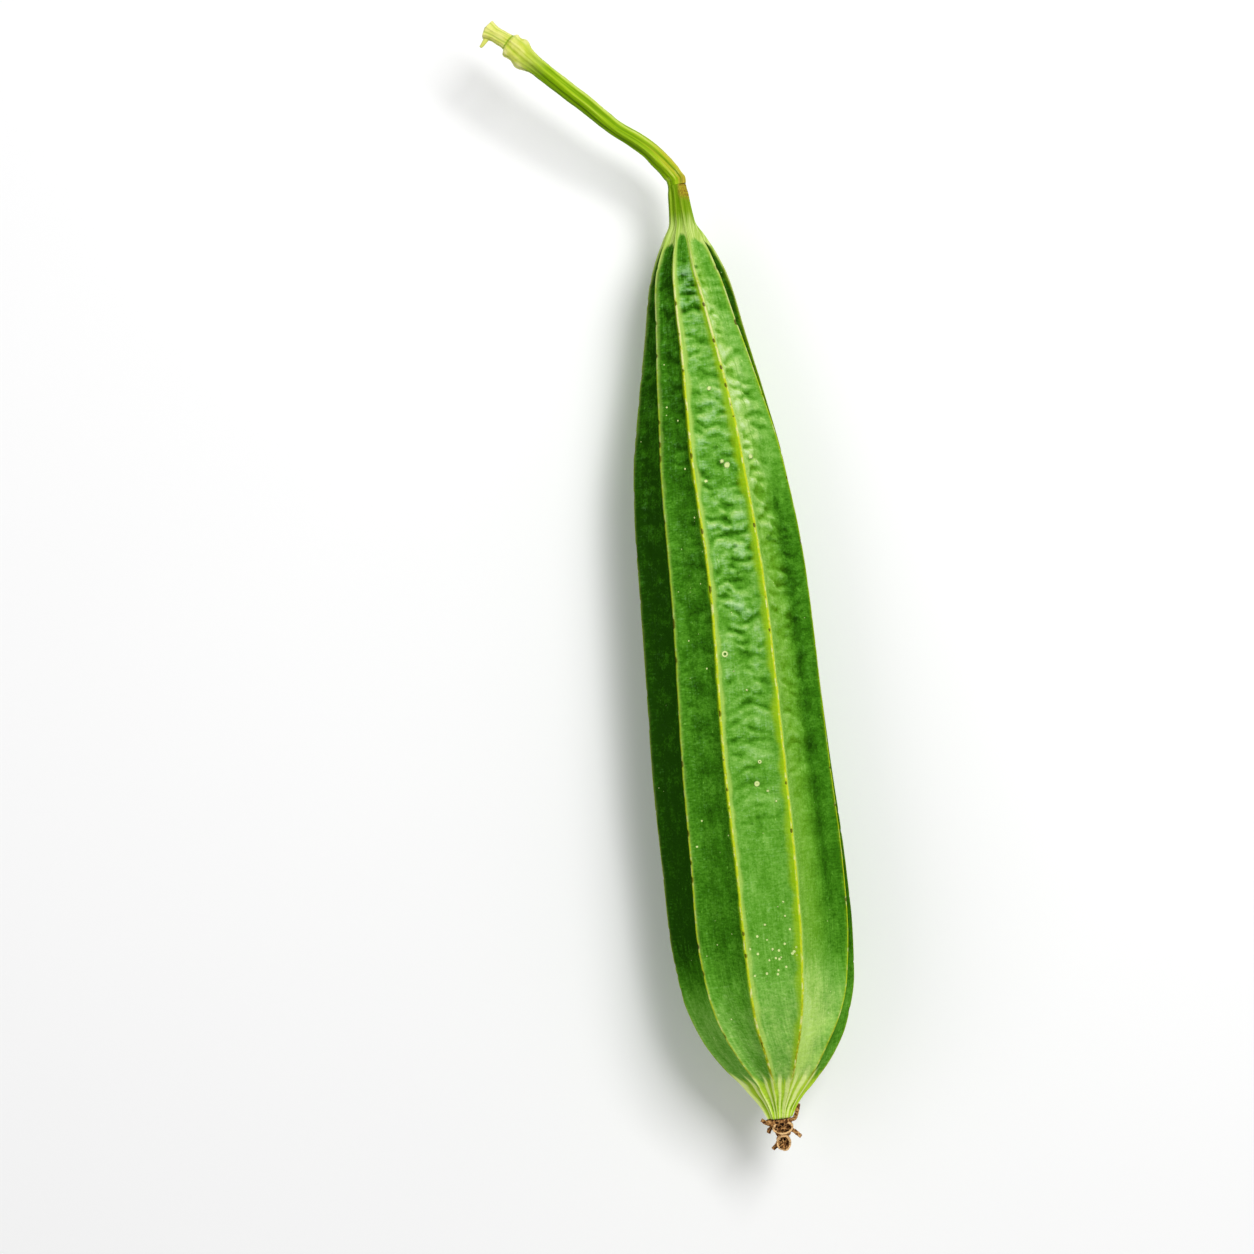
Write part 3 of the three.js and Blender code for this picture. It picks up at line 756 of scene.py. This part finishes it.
class Finish:
    """A material under construction."""

    def __init__(self, name, **fixed):
        self.material = bpy.data.materials.new(name)
        self.material.use_nodes = True
        self.tree = self.material.node_tree
        self.shader = self.tree.nodes["Principled BSDF"]
        for socket, value in fixed.items():
            self.shader.inputs[socket.replace("_", " ")].default_value = value

    def node(self, kind, settings=None, inputs=None, output=0):
        """Adds a node, sets its settings and then its sockets, and gives one of its outputs."""
        made = self.tree.nodes.new(kind)
        for key, value in (settings or {}).items():
            if key == "stops":
                self._set_stops(made.color_ramp, value)
            else:
                setattr(made, key, value)
        for key, value in (inputs or {}).items():
            self._feed(made.inputs[key], value)
        return Channel(self, made.outputs[output])

    def _feed(self, socket, value):
        if isinstance(value, Channel):
            self.tree.links.new(value.socket, socket)
        elif socket.type == "RGBA" and len(value) == 3:
            socket.default_value = (*value, 1)
        else:
            socket.default_value = value

    @staticmethod
    def _set_stops(ramp, stops):
        while len(ramp.elements) < len(stops):
            ramp.elements.new(0.5)
        for element, (position, colour) in zip(ramp.elements, stops):
            element.position = position
            element.color = (*colour, 1)

    def feed(self, **sockets):
        """Links values that change over the surface to the shader's sockets."""
        for key, value in sockets.items():
            self._feed(self.shader.inputs[key.replace("_", " ")], value)

    def value(self, name):
        """A number kept on the mesh."""
        settings = {"attribute_name": name, "attribute_type": "GEOMETRY"}
        return self.node("ShaderNodeAttribute", settings, output="Fac")

    def vector(self, x, y, z):
        return self.node("ShaderNodeCombineXYZ", None, {0: x, 1: y, 2: z})

    def noise(self, where, scale, detail=2.0, roughness=0.5):
        """Noise about 0, mostly between -1 and 1."""
        inputs = {"Vector": where, "Scale": scale, "Detail": detail, "Roughness": roughness}
        return (self.node("ShaderNodeTexNoise", None, inputs, output="Fac") - 0.5) * 3.2

    def cells(self, where, scale, output="Distance"):
        return self.node("ShaderNodeTexVoronoi", None, {"Vector": where, "Scale": scale}, output=output)

    def mix(self, share, first, second):
        """From the first colour to the second."""
        return self.node("ShaderNodeMix", {"data_type": "RGBA"}, {0: share, 6: first, 7: second}, output=2)

    def ramp(self, share, stops):
        return self.node("ShaderNodeValToRGB", {"stops": stops}, {"Fac": share}, output="Color")

    def place(self):
        return self.node("ShaderNodeTexCoord", output="Object")

    def bump(self, height, distance, strength=1.0):
        """Relief too fine for the mesh, its height from 0 to 1 over a distance in metres."""
        inputs = {"Strength": strength, "Distance": distance, "Height": height}
        return self.node("ShaderNodeBump", None, inputs)


def skin_material(colours):
    """Waxy green skin: yellow crests, pale and deep panels, streaks, specks, warts and pale ends."""
    finish = Finish("gourd_skin", Specular_IOR_Level=0.0, Coat_Roughness=0.35)
    across, along, panel = (finish.value(name) for name in ("skin_across", "skin_along", "skin_panel"))
    from_crest, tone, lumpy = (finish.value(name) for name in ("from_crest", "tone", "lumpy"))
    place_mm = finish.vector(across, along, panel)

    def stretched(over_across, over_along, detail=3.0):
        """Noise drawn out along the fruit or across it."""
        return finish.noise(finish.vector(across * over_across, along * over_along, panel), 1.0, detail)

    streaks = stretched(1.7, 0.11)
    grain = stretched(4.5, 1.6, 2.0)
    mottle = stretched(0.3, 0.14)
    bars = stretched(0.2, 0.55)
    pebbles = stretched(0.6, 0.75)
    lively = along.step(60, 140) * (1 - along.step(262, 285))
    # Painted glints: brushed strokes over the lumps and short pale streaks
    glint_stroke_place = finish.vector(across * 0.7 + mottle * 0.9, along * 1.5 + pebbles * 0.5, panel)
    glint_strokes = finish.noise(glint_stroke_place, 1.0, 3.0, 0.6)
    leather = finish.noise(place_mm, 1.9, 2.0)
    glint_place = finish.vector(across * 0.5 + streaks * 0.12, along * 0.22 + grain * 0.05, panel)
    glint_streaks = 1 - finish.cells(glint_place, 1.0).step(0.04, 0.12)
    # Painted light and shade: the tone, lumps painted lighter and dents darker, and painted glints; the
    # noises are the skin's own uneven colour
    light = tone + streaks * 0.05 + mottle * 0.12 + grain * 0.045 + pebbles * 0.1
    light = light + glint_strokes * 0.125 + leather * 0.1 + lumpy * 0.34 + glint_streaks * 0.26
    light = light + streaks * 0.1 * along.step(232, 262) + bars * lively * 0.04
    light = light + streaks * 0.07 * (1 - along.step(45, 90))
    skin = finish.ramp(light * 0.8, [
        (0.0, colours.shade_green), (0.2, colours.deep_green), (0.384, colours.leaf_green),
        (0.528, colours.light_green), (0.656, colours.pale_green), (0.8, colours.bright_green),
        (1.0, colours.glint_green)])
    # Painted sheen: pale grey-green on the lumps of the panels that face the light
    painted_sheen = (lumpy * 1.3 + glint_strokes * 0.55 + streaks * 0.3).step(0.1, 1.0) * finish.value("frosty")
    skin = finish.mix(painted_sheen * 0.32, skin, colours.sheen_green)
    # Painted shade along a crease on the panel to the right of the middle one
    crease_shade = 1 - abs(across + mottle * 0.7 - 7.6).step(0.12, 0.45)
    skin = finish.mix(crease_shade * finish.value("creased") * 0.5, skin, colours.leaf_green)

    # Painted light near the blossom end, where the skin is already light
    painted_tip_light = (tone + mottle * 0.12 + streaks * 0.1 + glint_strokes * 0.06).step(0.65, 1.3) * (1 - along.step(16, 54))
    skin = finish.mix(painted_tip_light * 0.8, skin, colours.tip_light_green)

    # Beside the ridges a pale band of painted light on one side and a yellow-green slope on the other,
    # then the yellow crest line itself with its brown nicks
    skin = finish.mix(finish.value("pale_band") * (0.85 + streaks * 0.3), skin, colours.lit_band_green)
    skin = finish.mix(finish.value("slope_band") * (0.85 + streaks * 0.3), skin, colours.slope_green)
    line = 1 - (from_crest + grain * 0.1 + streaks * 0.06).step(0.17, 0.5)
    stretch = finish.noise(finish.vector(along * 0.35, panel, 3.0), 1.0).step(-0.5, 0.9)
    crest_hue = finish.mix(stretch, colours.crest_yellow, colours.crest_green)
    cream = finish.noise(finish.vector(along * 0.2, panel, 9.0), 1.0, 3.0, 0.65)
    crest_hue = finish.mix(
        (cream + along.step(225, 255) * 0.4).step(0.0, 0.45) * 0.85, crest_hue, colours.crest_cream)
    brown = (cream * -1 + (1 - along.step(20, 44)) * 0.4).step(0.2, 0.6)
    crest_hue = finish.mix(brown * 0.75, crest_hue, colours.crest_brown)
    skin = finish.mix(line * finish.value("crest_line"), skin, crest_hue)
    skin = finish.mix(finish.value("nicked").step(0.15, 0.6) * 0.9, skin, colours.nick_brown)

    # Pale specks all over, more of them low down, then the larger blemishes
    cell_hues = finish.cells(place_mm, 0.5, "Color")
    chosen = finish.node("ShaderNodeSeparateColor", None, {"Color": cell_hues}, output=0)
    size = (chosen + finish.value("speckled")).step(0.92, 1.35) * 0.22
    specks = 1 - (finish.cells(place_mm, 0.5) - size).step(-0.035, 0.025)
    specks = specks * from_crest.step(0.9, 1.6)
    skin = finish.mix(specks * 0.85, skin, colours.speck_green)
    wart = nearest_blemish(finish, RINGED_WARTS)
    ragged = nearest_blemish(finish, PALE_BUMPS) + grain * 0.3 + pebbles * 0.25
    pit = 1 - (nearest_blemish(finish, DARK_PITS) + pebbles * 0.5).step(0.5, 1.3)
    rims = ((1 - wart.step(0.8, 1.1)) * wart.step(0.3, 0.5)).most(1 - ragged.step(0.65, 1.05))
    hollows = (1 - wart.step(0.3, 0.5)).most(pit)
    skin = finish.mix(rims * 0.85, skin, colours.speck_green)
    skin = finish.mix(hollows * 0.7, skin, colours.deep_green)

    # Pale rays with dark slits at the blossom scar
    rays = finish.value("rays")
    tip = 1 - (along - rays * 1.6 + streaks * 3 + mottle * 2).step(10.5, 16)
    tip_hue = finish.mix((rays + streaks * 0.4).step(-0.5, 0.7), colours.tip_green, colours.tip_pale)
    skin = finish.mix(tip * 0.9, skin, tip_hue)
    slit = (rays * -1 + mottle * 0.6).step(0.8, 1.15) * along.step(1.5, 3.5) * (1 - along.step(5.5, 9))
    skin = finish.mix(slit * 0.75, skin, colours.slit_green)

    # Pale shoulder, striped neck and a brown patch on one side of the joint ring
    stripes = stretched(1.4, 0.06, 2.0)
    shoulder_hue = finish.mix(stripes.step(-0.6, 0.8), colours.shoulder_green, colours.shoulder_pale)
    skin = finish.mix(finish.value("shoulder"), skin, shoulder_hue)
    neck = (along - stripes * 1.6).step(284, 291.5)
    ribs = stripes.step(-0.6, 1.0) * 0.6 + (1 - from_crest.step(0.15, 0.55)) * 0.3
    skin = finish.mix(neck, skin, finish.mix(ribs, colours.neck_green, colours.neck_rib))
    east = finish.node("ShaderNodeSeparateXYZ", None, {0: finish.place()}, output="X")
    ring_middle = AXIS_ACROSS[-1][1] - MIDDLE[0]
    patch = (east / MM - ring_middle + streaks).step(-0.7, 1.2) * (along + mottle).step(294, 297)
    ring_hue = finish.mix(grain.step(-0.3, 0.5), colours.ring_brown, colours.ring_ochre)
    skin = finish.mix(patch * 0.85, skin, ring_hue)

    # Wax on the lumps of the lighter panels, which makes soft glints there
    roughness = 0.44 - lumpy * 0.08 + mottle * 0.03 + grain * 0.02
    wax = ((tone + mottle * 0.12).step(0.42, 0.8) * (lumpy * 0.8 + 0.06) * lively).most(0.0)
    relief = grain * 0.12 + streaks * 0.06 + bars * lively * 0.35 + specks * 0.5 + rims * 1.4
    relief = relief + pebbles * 0.45 - hollows * 0.8 + leather * 0.12
    normal = finish.bump(relief, 0.00026, 0.9)
    finish.feed(Base_Color=skin, Roughness=roughness, Coat_Weight=wax, Normal=normal)
    return finish.material


def nearest_blemish(finish, spots):
    """How far it is to the nearest of the spots, counted in that spot's own radius."""
    flat = (1, 1, BLEMISH_FLATNESS)
    where = finish.node("ShaderNodeVectorMath", {"operation": "MULTIPLY"}, {0: finish.place(), 1: flat})
    nearest = None
    for across, along, radius in spots:
        centre = tuple(blemish_centre(across, along) * flat)
        ends = {0: where, 1: centre}
        away = finish.node("ShaderNodeVectorMath", {"operation": "DISTANCE"}, ends, output="Value")
        away = away / (radius * MM)
        nearest = away if nearest is None else nearest.least(away)
    return nearest


def blemish_centre(across, along):
    """The point of the upper skin over a place on the fruit's own axes."""
    radius = float(crest_radius(np.array(along))) - 1.9
    return place(across, along, math.sqrt(radius ** 2 - across ** 2))


def stalk_material(colours):
    """Yellow-green ribbed stem: pale rib lines, ochre at its bend, cream at the node and the cut, painted
    light above, painted shade below.
    """
    finish = Finish("gourd_stalk", Specular_IOR_Level=0.05)
    position, rib, up, out = (
        finish.value(name) for name in ("stalk_place", "stalk_rib", "stalk_up", "stalk_out"))
    lines = finish.noise(finish.vector(up * 3.2, out * 3.2, position * 0.22), 1.0, 3.0)
    fine = finish.noise(finish.vector(up * 8, out * 8, position * 0.5), 1.0, 2.0)
    mottle = finish.noise(finish.vector(up, out, position * 0.8), 1.0, 3.0)
    # The upper side painted lighter and the lower side painted darker, as the light falls
    light = 0.46 + rib * 0.17 + lines * 0.3 + fine * 0.12 + mottle * 0.08 + out * 0.22
    stem = finish.ramp(light, [
        (0.0, colours.stalk_shade), (0.4, colours.stalk_green), (0.7, colours.stalk_light),
        (1.0, colours.stalk_pale)])
    creamy = (position + mottle * 0.4).step(10.4, 12.8)
    cream = finish.mix((lines + mottle).step(-0.9, 0.8), colours.node_green, colours.cut_cream)
    stem = finish.mix(creamy * 0.9, stem, cream)
    cut = (position + fine * 0.12).step(16.2, 16.9)
    stem = finish.mix(cut * 0.85, stem, colours.cut_cream)
    # Painted highlights on the knobs of the node, with ochre flecks
    knobs = (finish.value("knobbly") + lines * 0.2).step(0.35, 0.9)
    stem = finish.mix(knobs * 0.7, stem, colours.knob_highlight)
    stem = finish.mix(knobs * fine.step(0.2, 0.6) * 0.6, stem, colours.ring_ochre)
    groove = 1 - abs(position + mottle * 0.05 - 14.5).step(0.05, 0.2)
    stem = finish.mix(groove * 0.75, stem, colours.stalk_green)
    furrow = creamy * (rib * -1 + lines * 0.4).step(0.5, 1.1)
    stem = finish.mix(furrow * 0.5, stem, colours.stalk_light)

    # Ochre streaks on the outside of the bend, a brown patch at the joint ring and pale ticks over it
    outside = out.step(-0.3, 0.7)
    bend = (1 - (position + mottle * 0.6).step(2.6, 5.2)) * (lines * 0.8 + outside).step(0.2, 1.1)
    stem = finish.mix(bend * 0.75, stem, colours.ring_ochre)
    ring = (1 - (position + mottle * 0.5).step(0.5, 1.3)) * (out + lines * 0.3).step(0.1, 0.7)
    ring_hue = finish.mix(fine.step(-0.4, 0.4), colours.ring_brown, colours.ring_ochre)
    stem = finish.mix(ring * 0.85, stem, ring_hue)
    ticks = (1 - abs(position + lines * 0.2 - 1.3).step(0.1, 0.35)) * fine.step(0.1, 0.4)
    stem = finish.mix(ticks * 0.8, stem, colours.cut_cream)
    roughness = 0.45 + mottle * 0.05 - rib * 0.03
    relief = lines * 0.5 + fine * 0.3 + mottle * 0.2
    finish.feed(Base_Color=stem, Roughness=roughness, Normal=finish.bump(relief, 0.00018, 0.9))
    return finish.material


def blossom_material(colours):
    """Dry brown petals: a web of tan fibres with dark holes, painted shade in the pouches, painted light
    along the rims.
    """
    finish = Finish("gourd_blossom", Roughness=0.8, Specular_IOR_Level=0.1)
    hollow, turn = finish.value("hollow"), finish.value("turn")
    where = finish.place()
    fibres = finish.noise(finish.vector(turn * 5, hollow * 2, 1.0), 1.0, 3.0)
    crumbs = finish.noise(where, 900, 3.0, 0.6)
    blotch = finish.noise(where, 260, 2.0)
    mesh_size = {"Vector": where, "Scale": 700.0}
    web = finish.node("ShaderNodeTexVoronoi", {"feature": "DISTANCE_TO_EDGE"}, mesh_size)
    hole = (web + crumbs * 0.03).step(0.05, 0.2)
    shaded_inside, lit_rim = hollow.most(0.0), (hollow * -1).most(0.0)
    light = 0.68 + fibres * 0.36 + crumbs * 0.24 + blotch * 0.16 + lit_rim * 0.6
    light = light - shaded_inside * (0.22 + hole * 0.95) - (1 - shaded_inside - lit_rim) * hole * 0.36
    brown = finish.ramp(light, [
        (0.0, colours.blossom_dark), (0.35, colours.blossom_brown), (0.7, colours.blossom_tan),
        (1.0, colours.blossom_pale)])
    relief = fibres * 0.4 + crumbs * 0.5 - hole * 0.8
    finish.feed(Base_Color=brown, Normal=finish.bump(relief, 0.0003, 1.0))
    return finish.material


def table_material(colours):
    """A plain matt table top, near white, with the faintest unevenness."""
    finish = Finish("pale_table", Roughness=0.7)
    cloud = finish.noise(finish.place(), 6.0, 2.0)
    top = finish.mix(cloud.step(-1.5, 1.5), colours.table_white, colours.table_shade)
    finish.feed(Base_Color=top)
    return finish.material


def colour(name, default, description):
    return bpy.props.FloatVectorProperty(
        name=name, description=description, default=default, subtype="COLOR", size=3, min=0, max=1)


def length(name, default, description):
    return bpy.props.FloatProperty(name=name, description=description, default=default, unit="LENGTH")


def count(name, default, description):
    return bpy.props.IntProperty(name=name, description=description, default=default)


class GourdShape(bpy.types.PropertyGroup):
    """Sizes of the skin's finer forms"""
    ridge_height: length("Ridge height", 0.0021, "How far a ridge stands out of the skin")
    wrinkle_depth: length("Wrinkle depth", 0.0008, "Depth of the cross wrinkles")
    nick_depth: length("Nick depth", 0.0004, "Depth of the nicks in the crests")
    nick_density: bpy.props.FloatProperty(
        name="Nick density", description="Share of the crest that is nicked", default=0.56,
        subtype="FACTOR", min=0, max=1)
    rows: count("Rows", 478, "Rows of points along the fruit")
    stalk_rows: count("Stalk rows", 480, "Rows of points along the stalk")
    stalk_columns: count("Stalk columns", 102, "Points round the stalk")


class GourdColours(bpy.types.PropertyGroup):
    """Colours of the skin, the stalk, the blossom and the table"""
    shade_green: colour("Shade green", (0.012, 0.058, 0.002), "Darkest skin, low on the sides")
    deep_green: colour("Deep green", (0.036, 0.158, 0.005), "Dark skin")
    leaf_green: colour("Leaf green", (0.090, 0.295, 0.018), "Middle of the skin's greens")
    light_green: colour("Light green", (0.162, 0.400, 0.050), "Light skin")
    pale_green: colour("Pale green", (0.250, 0.495, 0.092), "Paler skin, towards the ends")
    # Partly painted light: the lit tops of the lumps
    bright_green: colour("Bright green", (0.400, 0.625, 0.165), "Pale skin of the lumps")
    # Painted light near the blossom end
    tip_light_green: colour("Glow green", (0.540, 0.840, 0.120), "Sunlit skin near the blossom end")
    # Painted sheen on the lumps
    sheen_green: colour("Frost green", (0.420, 0.640, 0.400), "Waxy bloom on the lumps")
    glint_green: colour("Glint green", (0.600, 0.780, 0.400), "Palest skin")
    # Painted light beside the crest lines
    lit_band_green: colour("Band pale", (0.440, 0.630, 0.120), "Pale band beside the crest lines")
    slope_green: colour("Slope green", (0.330, 0.530, 0.002), "Yellow-green slope beside the crest lines")
    crest_yellow: colour("Crest yellow", (0.540, 0.610, 0.020), "Crest lines, yellow stretches")
    crest_green: colour("Crest green", (0.370, 0.550, 0.006), "Crest lines, greener stretches")
    crest_cream: colour("Crest cream", (0.740, 0.740, 0.330), "Crest lines, pale stretches")
    crest_brown: colour("Crest brown", (0.260, 0.240, 0.010), "Crest lines, brownish stretches")
    nick_brown: colour("Nick brown", (0.080, 0.072, 0.006), "Nicks in the crests")
    speck_green: colour("Speck green", (0.720, 0.840, 0.340), "Specks and warts")
    tip_green: colour("Tip green", (0.480, 0.710, 0.040), "Between the rays at the blossom end")
    tip_pale: colour("Tip pale", (0.860, 0.980, 0.340), "Rays at the blossom end")
    slit_green: colour("Slit green", (0.120, 0.270, 0.004), "Dark slits between the rays")
    shoulder_pale: colour("Shoulder pale", (0.600, 0.720, 0.230), "Pale stripes of the shoulder")
    shoulder_green: colour("Shoulder green", (0.330, 0.510, 0.060), "Shoulder between its pale stripes")
    neck_green: colour("Neck green", (0.110, 0.240, 0.001), "Neck, between its ribs")
    neck_rib: colour("Neck rib", (0.330, 0.480, 0.030), "Ribs on the neck")
    ring_brown: colour("Ring brown", (0.260, 0.130, 0.018), "Patch on the joint ring under the stalk")
    ring_ochre: colour("Ring ochre", (0.520, 0.450, 0.030), "Streaks on the stalk's bend")
    # Painted shade on the stalk's lower side and in its grooves
    stalk_shade: colour("Stalk deep", (0.060, 0.130, 0.000), "Grooves of the stalk")
    stalk_green: colour("Stalk green", (0.190, 0.360, 0.001), "Stalk")
    stalk_light: colour("Stalk light", (0.350, 0.530, 0.010), "Light stretches of the stalk")
    stalk_pale: colour("Stalk pale", (0.640, 0.720, 0.180), "Pale rib lines of the stalk")
    node_green: colour("Node green", (0.580, 0.640, 0.060), "Swollen node")
    # Painted highlight on the knobs
    knob_highlight: colour("Knob pale", (0.850, 0.800, 0.360), "Knobs of the swollen node")
    cut_cream: colour("Cut cream", (0.780, 0.760, 0.230), "Stub and cut end")
    # Holes, and painted shade deep in the pouches
    blossom_dark: colour("Blossom dark", (0.016, 0.006, 0.002), "Holes of the withered petals")
    blossom_brown: colour("Blossom brown", (0.200, 0.080, 0.024), "Withered petals")
    blossom_tan: colour("Blossom tan", (0.600, 0.310, 0.100), "Fibres of the withered petals")
    # Painted light along the rims
    blossom_pale: colour("Blossom pale", (0.900, 0.580, 0.270), "Edges of the withered petals")
    table_white: colour("Table white", (0.940, 0.940, 0.940), "Table top")
    table_shade: colour("Table shade", (0.925, 0.925, 0.925), "Faint clouds on the table top")


class StudioSettings(bpy.types.PropertyGroup):
    """Light over the table"""
    key_power: bpy.props.FloatProperty(
        name="Key light", description="Power of the large light overhead on the right", default=14.0,
        unit="POWER")
    fill_power: bpy.props.FloatProperty(
        name="Fill light", description="Power of the light on the left", default=2.4, unit="POWER")
    sky: bpy.props.FloatProperty(
        name="Sky", description="Strength of the even white light all round", default=0.38, min=0)


class GOURD_OT_fruit(bpy.types.Operator):
    """Make the ridged fruit"""
    bl_idname = "gourd.fruit"
    bl_label = "Fruit"

    def execute(self, context):
        scene = context.scene
        piece = fruit_mesh(scene.gourd_shape, skin_material(scene.gourd_colours))
        finish_piece(piece, "fruit")
        return {"FINISHED"}


class GOURD_OT_stalk(bpy.types.Operator):
    """Make the stalk with its node, stub and tendril"""
    bl_idname = "gourd.stalk"
    bl_label = "Stalk"

    def execute(self, context):
        scene = context.scene
        points, ends, values = stalk_rings(scene.gourd_shape)
        skin = Skin()
        skin.add(points, ends, values, uv_box=(0, 0, 1, 0.9))
        tendril, tendril_ends = thin_tube(place(*TENDRIL_ROUTE.T), TENDRIL_RADII, 24, 16)
        plain = {"stalk_place": 16.5, "stalk_rib": 0.2, "stalk_up": 1.0, "stalk_out": 0.0, "knobbly": 0.0}
        values = spread_over(plain, tendril.shape[:2])
        skin.add(tendril, tendril_ends, values, uv_box=(0, 0.92, 0.3, 1))
        piece = skin.mesh_object("gourd_stalk", stalk_material(scene.gourd_colours))
        finish_piece(piece, "stalk")
        return {"FINISHED"}


class GOURD_OT_blossom(bpy.types.Operator):
    """Make the withered blossom"""
    bl_idname = "gourd.blossom"
    bl_label = "Withered blossom"

    def execute(self, context):
        bodies = [cup_rings()]
        bodies += [pouch_rings(pouch, 51 + 4 * i) for i, pouch in enumerate(POUCHES)]
        bodies += [curl_rings(route, half, 61 + 3 * i) for i, (route, half) in enumerate(PETAL_CURLS)]
        for route in thread_routes(np.random.default_rng(THREAD_SEED)):
            # Each thread carries a little painted shade
            bodies.append((*thin_tube(place(*np.array(route).T), THREAD_RADII, 14, 8), 0.15, 1.0))
        skin = Skin()
        side = math.ceil(math.sqrt(len(bodies)))
        for i, (points, ends, hollow, turn) in enumerate(bodies):
            left, low = (i % side) / side, (i // side) / side
            box = (left, low, left + 0.96 / side, low + 0.96 / side)
            values = spread_over({"hollow": hollow, "turn": turn}, points.shape[:2])
            skin.add(points, ends, values, uv_box=box)
        piece = skin.mesh_object("gourd_blossom", blossom_material(context.scene.gourd_colours))
        finish_piece(piece, "withered_blossom")
        return {"FINISHED"}


def area_light(name, at, size, power):
    """A square light that looks at the gourd."""
    light = bpy.data.lights.new(name, "AREA")
    light.shape = "RECTANGLE"
    light.size = light.size_y = size
    light.energy = power
    lamp = bpy.data.objects.new(name, light)
    bpy.context.scene.collection.objects.link(lamp)
    lamp.location = at
    lamp.rotation_euler = (Vector(LIGHT_AIM) - Vector(at)).to_track_quat("-Z", "Y").to_euler()


class GOURD_OT_stage(bpy.types.Operator):
    """Make the table, the light and the camera"""
    bl_idname = "gourd.stage"
    bl_label = "Table, light and camera"

    def execute(self, context):
        scene, studio = context.scene, context.scene.gourd_studio
        mesh = bpy.data.meshes.new("pale_table")
        corners = [(x * TABLE_HALF, y * TABLE_HALF, 0) for x, y in ((-1, -1), (1, -1), (1, 1), (-1, 1))]
        mesh.from_pydata(corners, [], [(0, 1, 2, 3)])
        mesh.materials.append(table_material(scene.gourd_colours))
        table = bpy.data.objects.new("pale_table", mesh)
        scene.collection.objects.link(table)
        area_light("key_light", KEY_PLACE, KEY_SIZE, studio.key_power)
        area_light("fill_light", FILL_PLACE, FILL_SIZE, studio.fill_power)
        world = bpy.data.worlds.new("studio")
        world.use_nodes = True
        background = world.node_tree.nodes["Background"]
        background.inputs["Color"].default_value = (1, 1, 1, 1)
        background.inputs["Strength"].default_value = studio.sky
        scene.world = world
        scene.view_settings.view_transform = "Standard"
        self.make_camera(scene)
        return {"FINISHED"}

    @staticmethod
    def make_camera(scene):
        data = bpy.data.cameras.new("camera")
        data.sensor_width = SENSOR_WIDTH
        data.lens = SENSOR_WIDTH * VIEW_DISTANCE / VIEW_WIDTH
        data.clip_start, data.clip_end = 0.05, 20
        camera = bpy.data.objects.new("camera", data)
        scene.collection.objects.link(camera)
        aim = place(VIEW_AIM[0], VIEW_AIM[1], 0)
        camera.matrix_world = (Matrix.Translation((aim[0], aim[1], aim[2] + VIEW_DISTANCE * MM))
                               @ Matrix.Rotation(VIEW_ROLL, 4, "Z"))
        scene.camera = camera


OPERATORS = (GOURD_OT_stage, GOURD_OT_fruit, GOURD_OT_stalk, GOURD_OT_blossom)


class GOURD_PT_panel(bpy.types.Panel):
    """Lists the gourd's pieces"""
    bl_idname = "GOURD_PT_panel"
    bl_label = "Ridge gourd"
    bl_space_type = "VIEW_3D"
    bl_region_type = "UI"
    bl_category = "Gourd"

    def draw(self, context):
        for operator in OPERATORS:
            self.layout.operator(operator.bl_idname)
        for group in (context.scene.gourd_shape, context.scene.gourd_colours, context.scene.gourd_studio):
            for name in group.__annotations__:
                self.layout.prop(group, name)


SETTINGS = {"gourd_shape": GourdShape, "gourd_colours": GourdColours, "gourd_studio": StudioSettings}


def register():
    for group in (*SETTINGS.values(), *OPERATORS, GOURD_PT_panel):
        bpy.utils.register_class(group)
    for name, group in SETTINGS.items():
        setattr(bpy.types.Scene, name, bpy.props.PointerProperty(type=group))


def unregister():
    for name in SETTINGS:
        delattr(bpy.types.Scene, name)
    for group in (GOURD_PT_panel, *reversed(OPERATORS), *SETTINGS.values()):
        bpy.utils.unregister_class(group)


def main():
    register()
    bpy.ops.gourd.stage()
    bpy.ops.gourd.fruit()
    bpy.ops.gourd.stalk()
    bpy.ops.gourd.blossom()


if __name__ == "__main__":
    main()
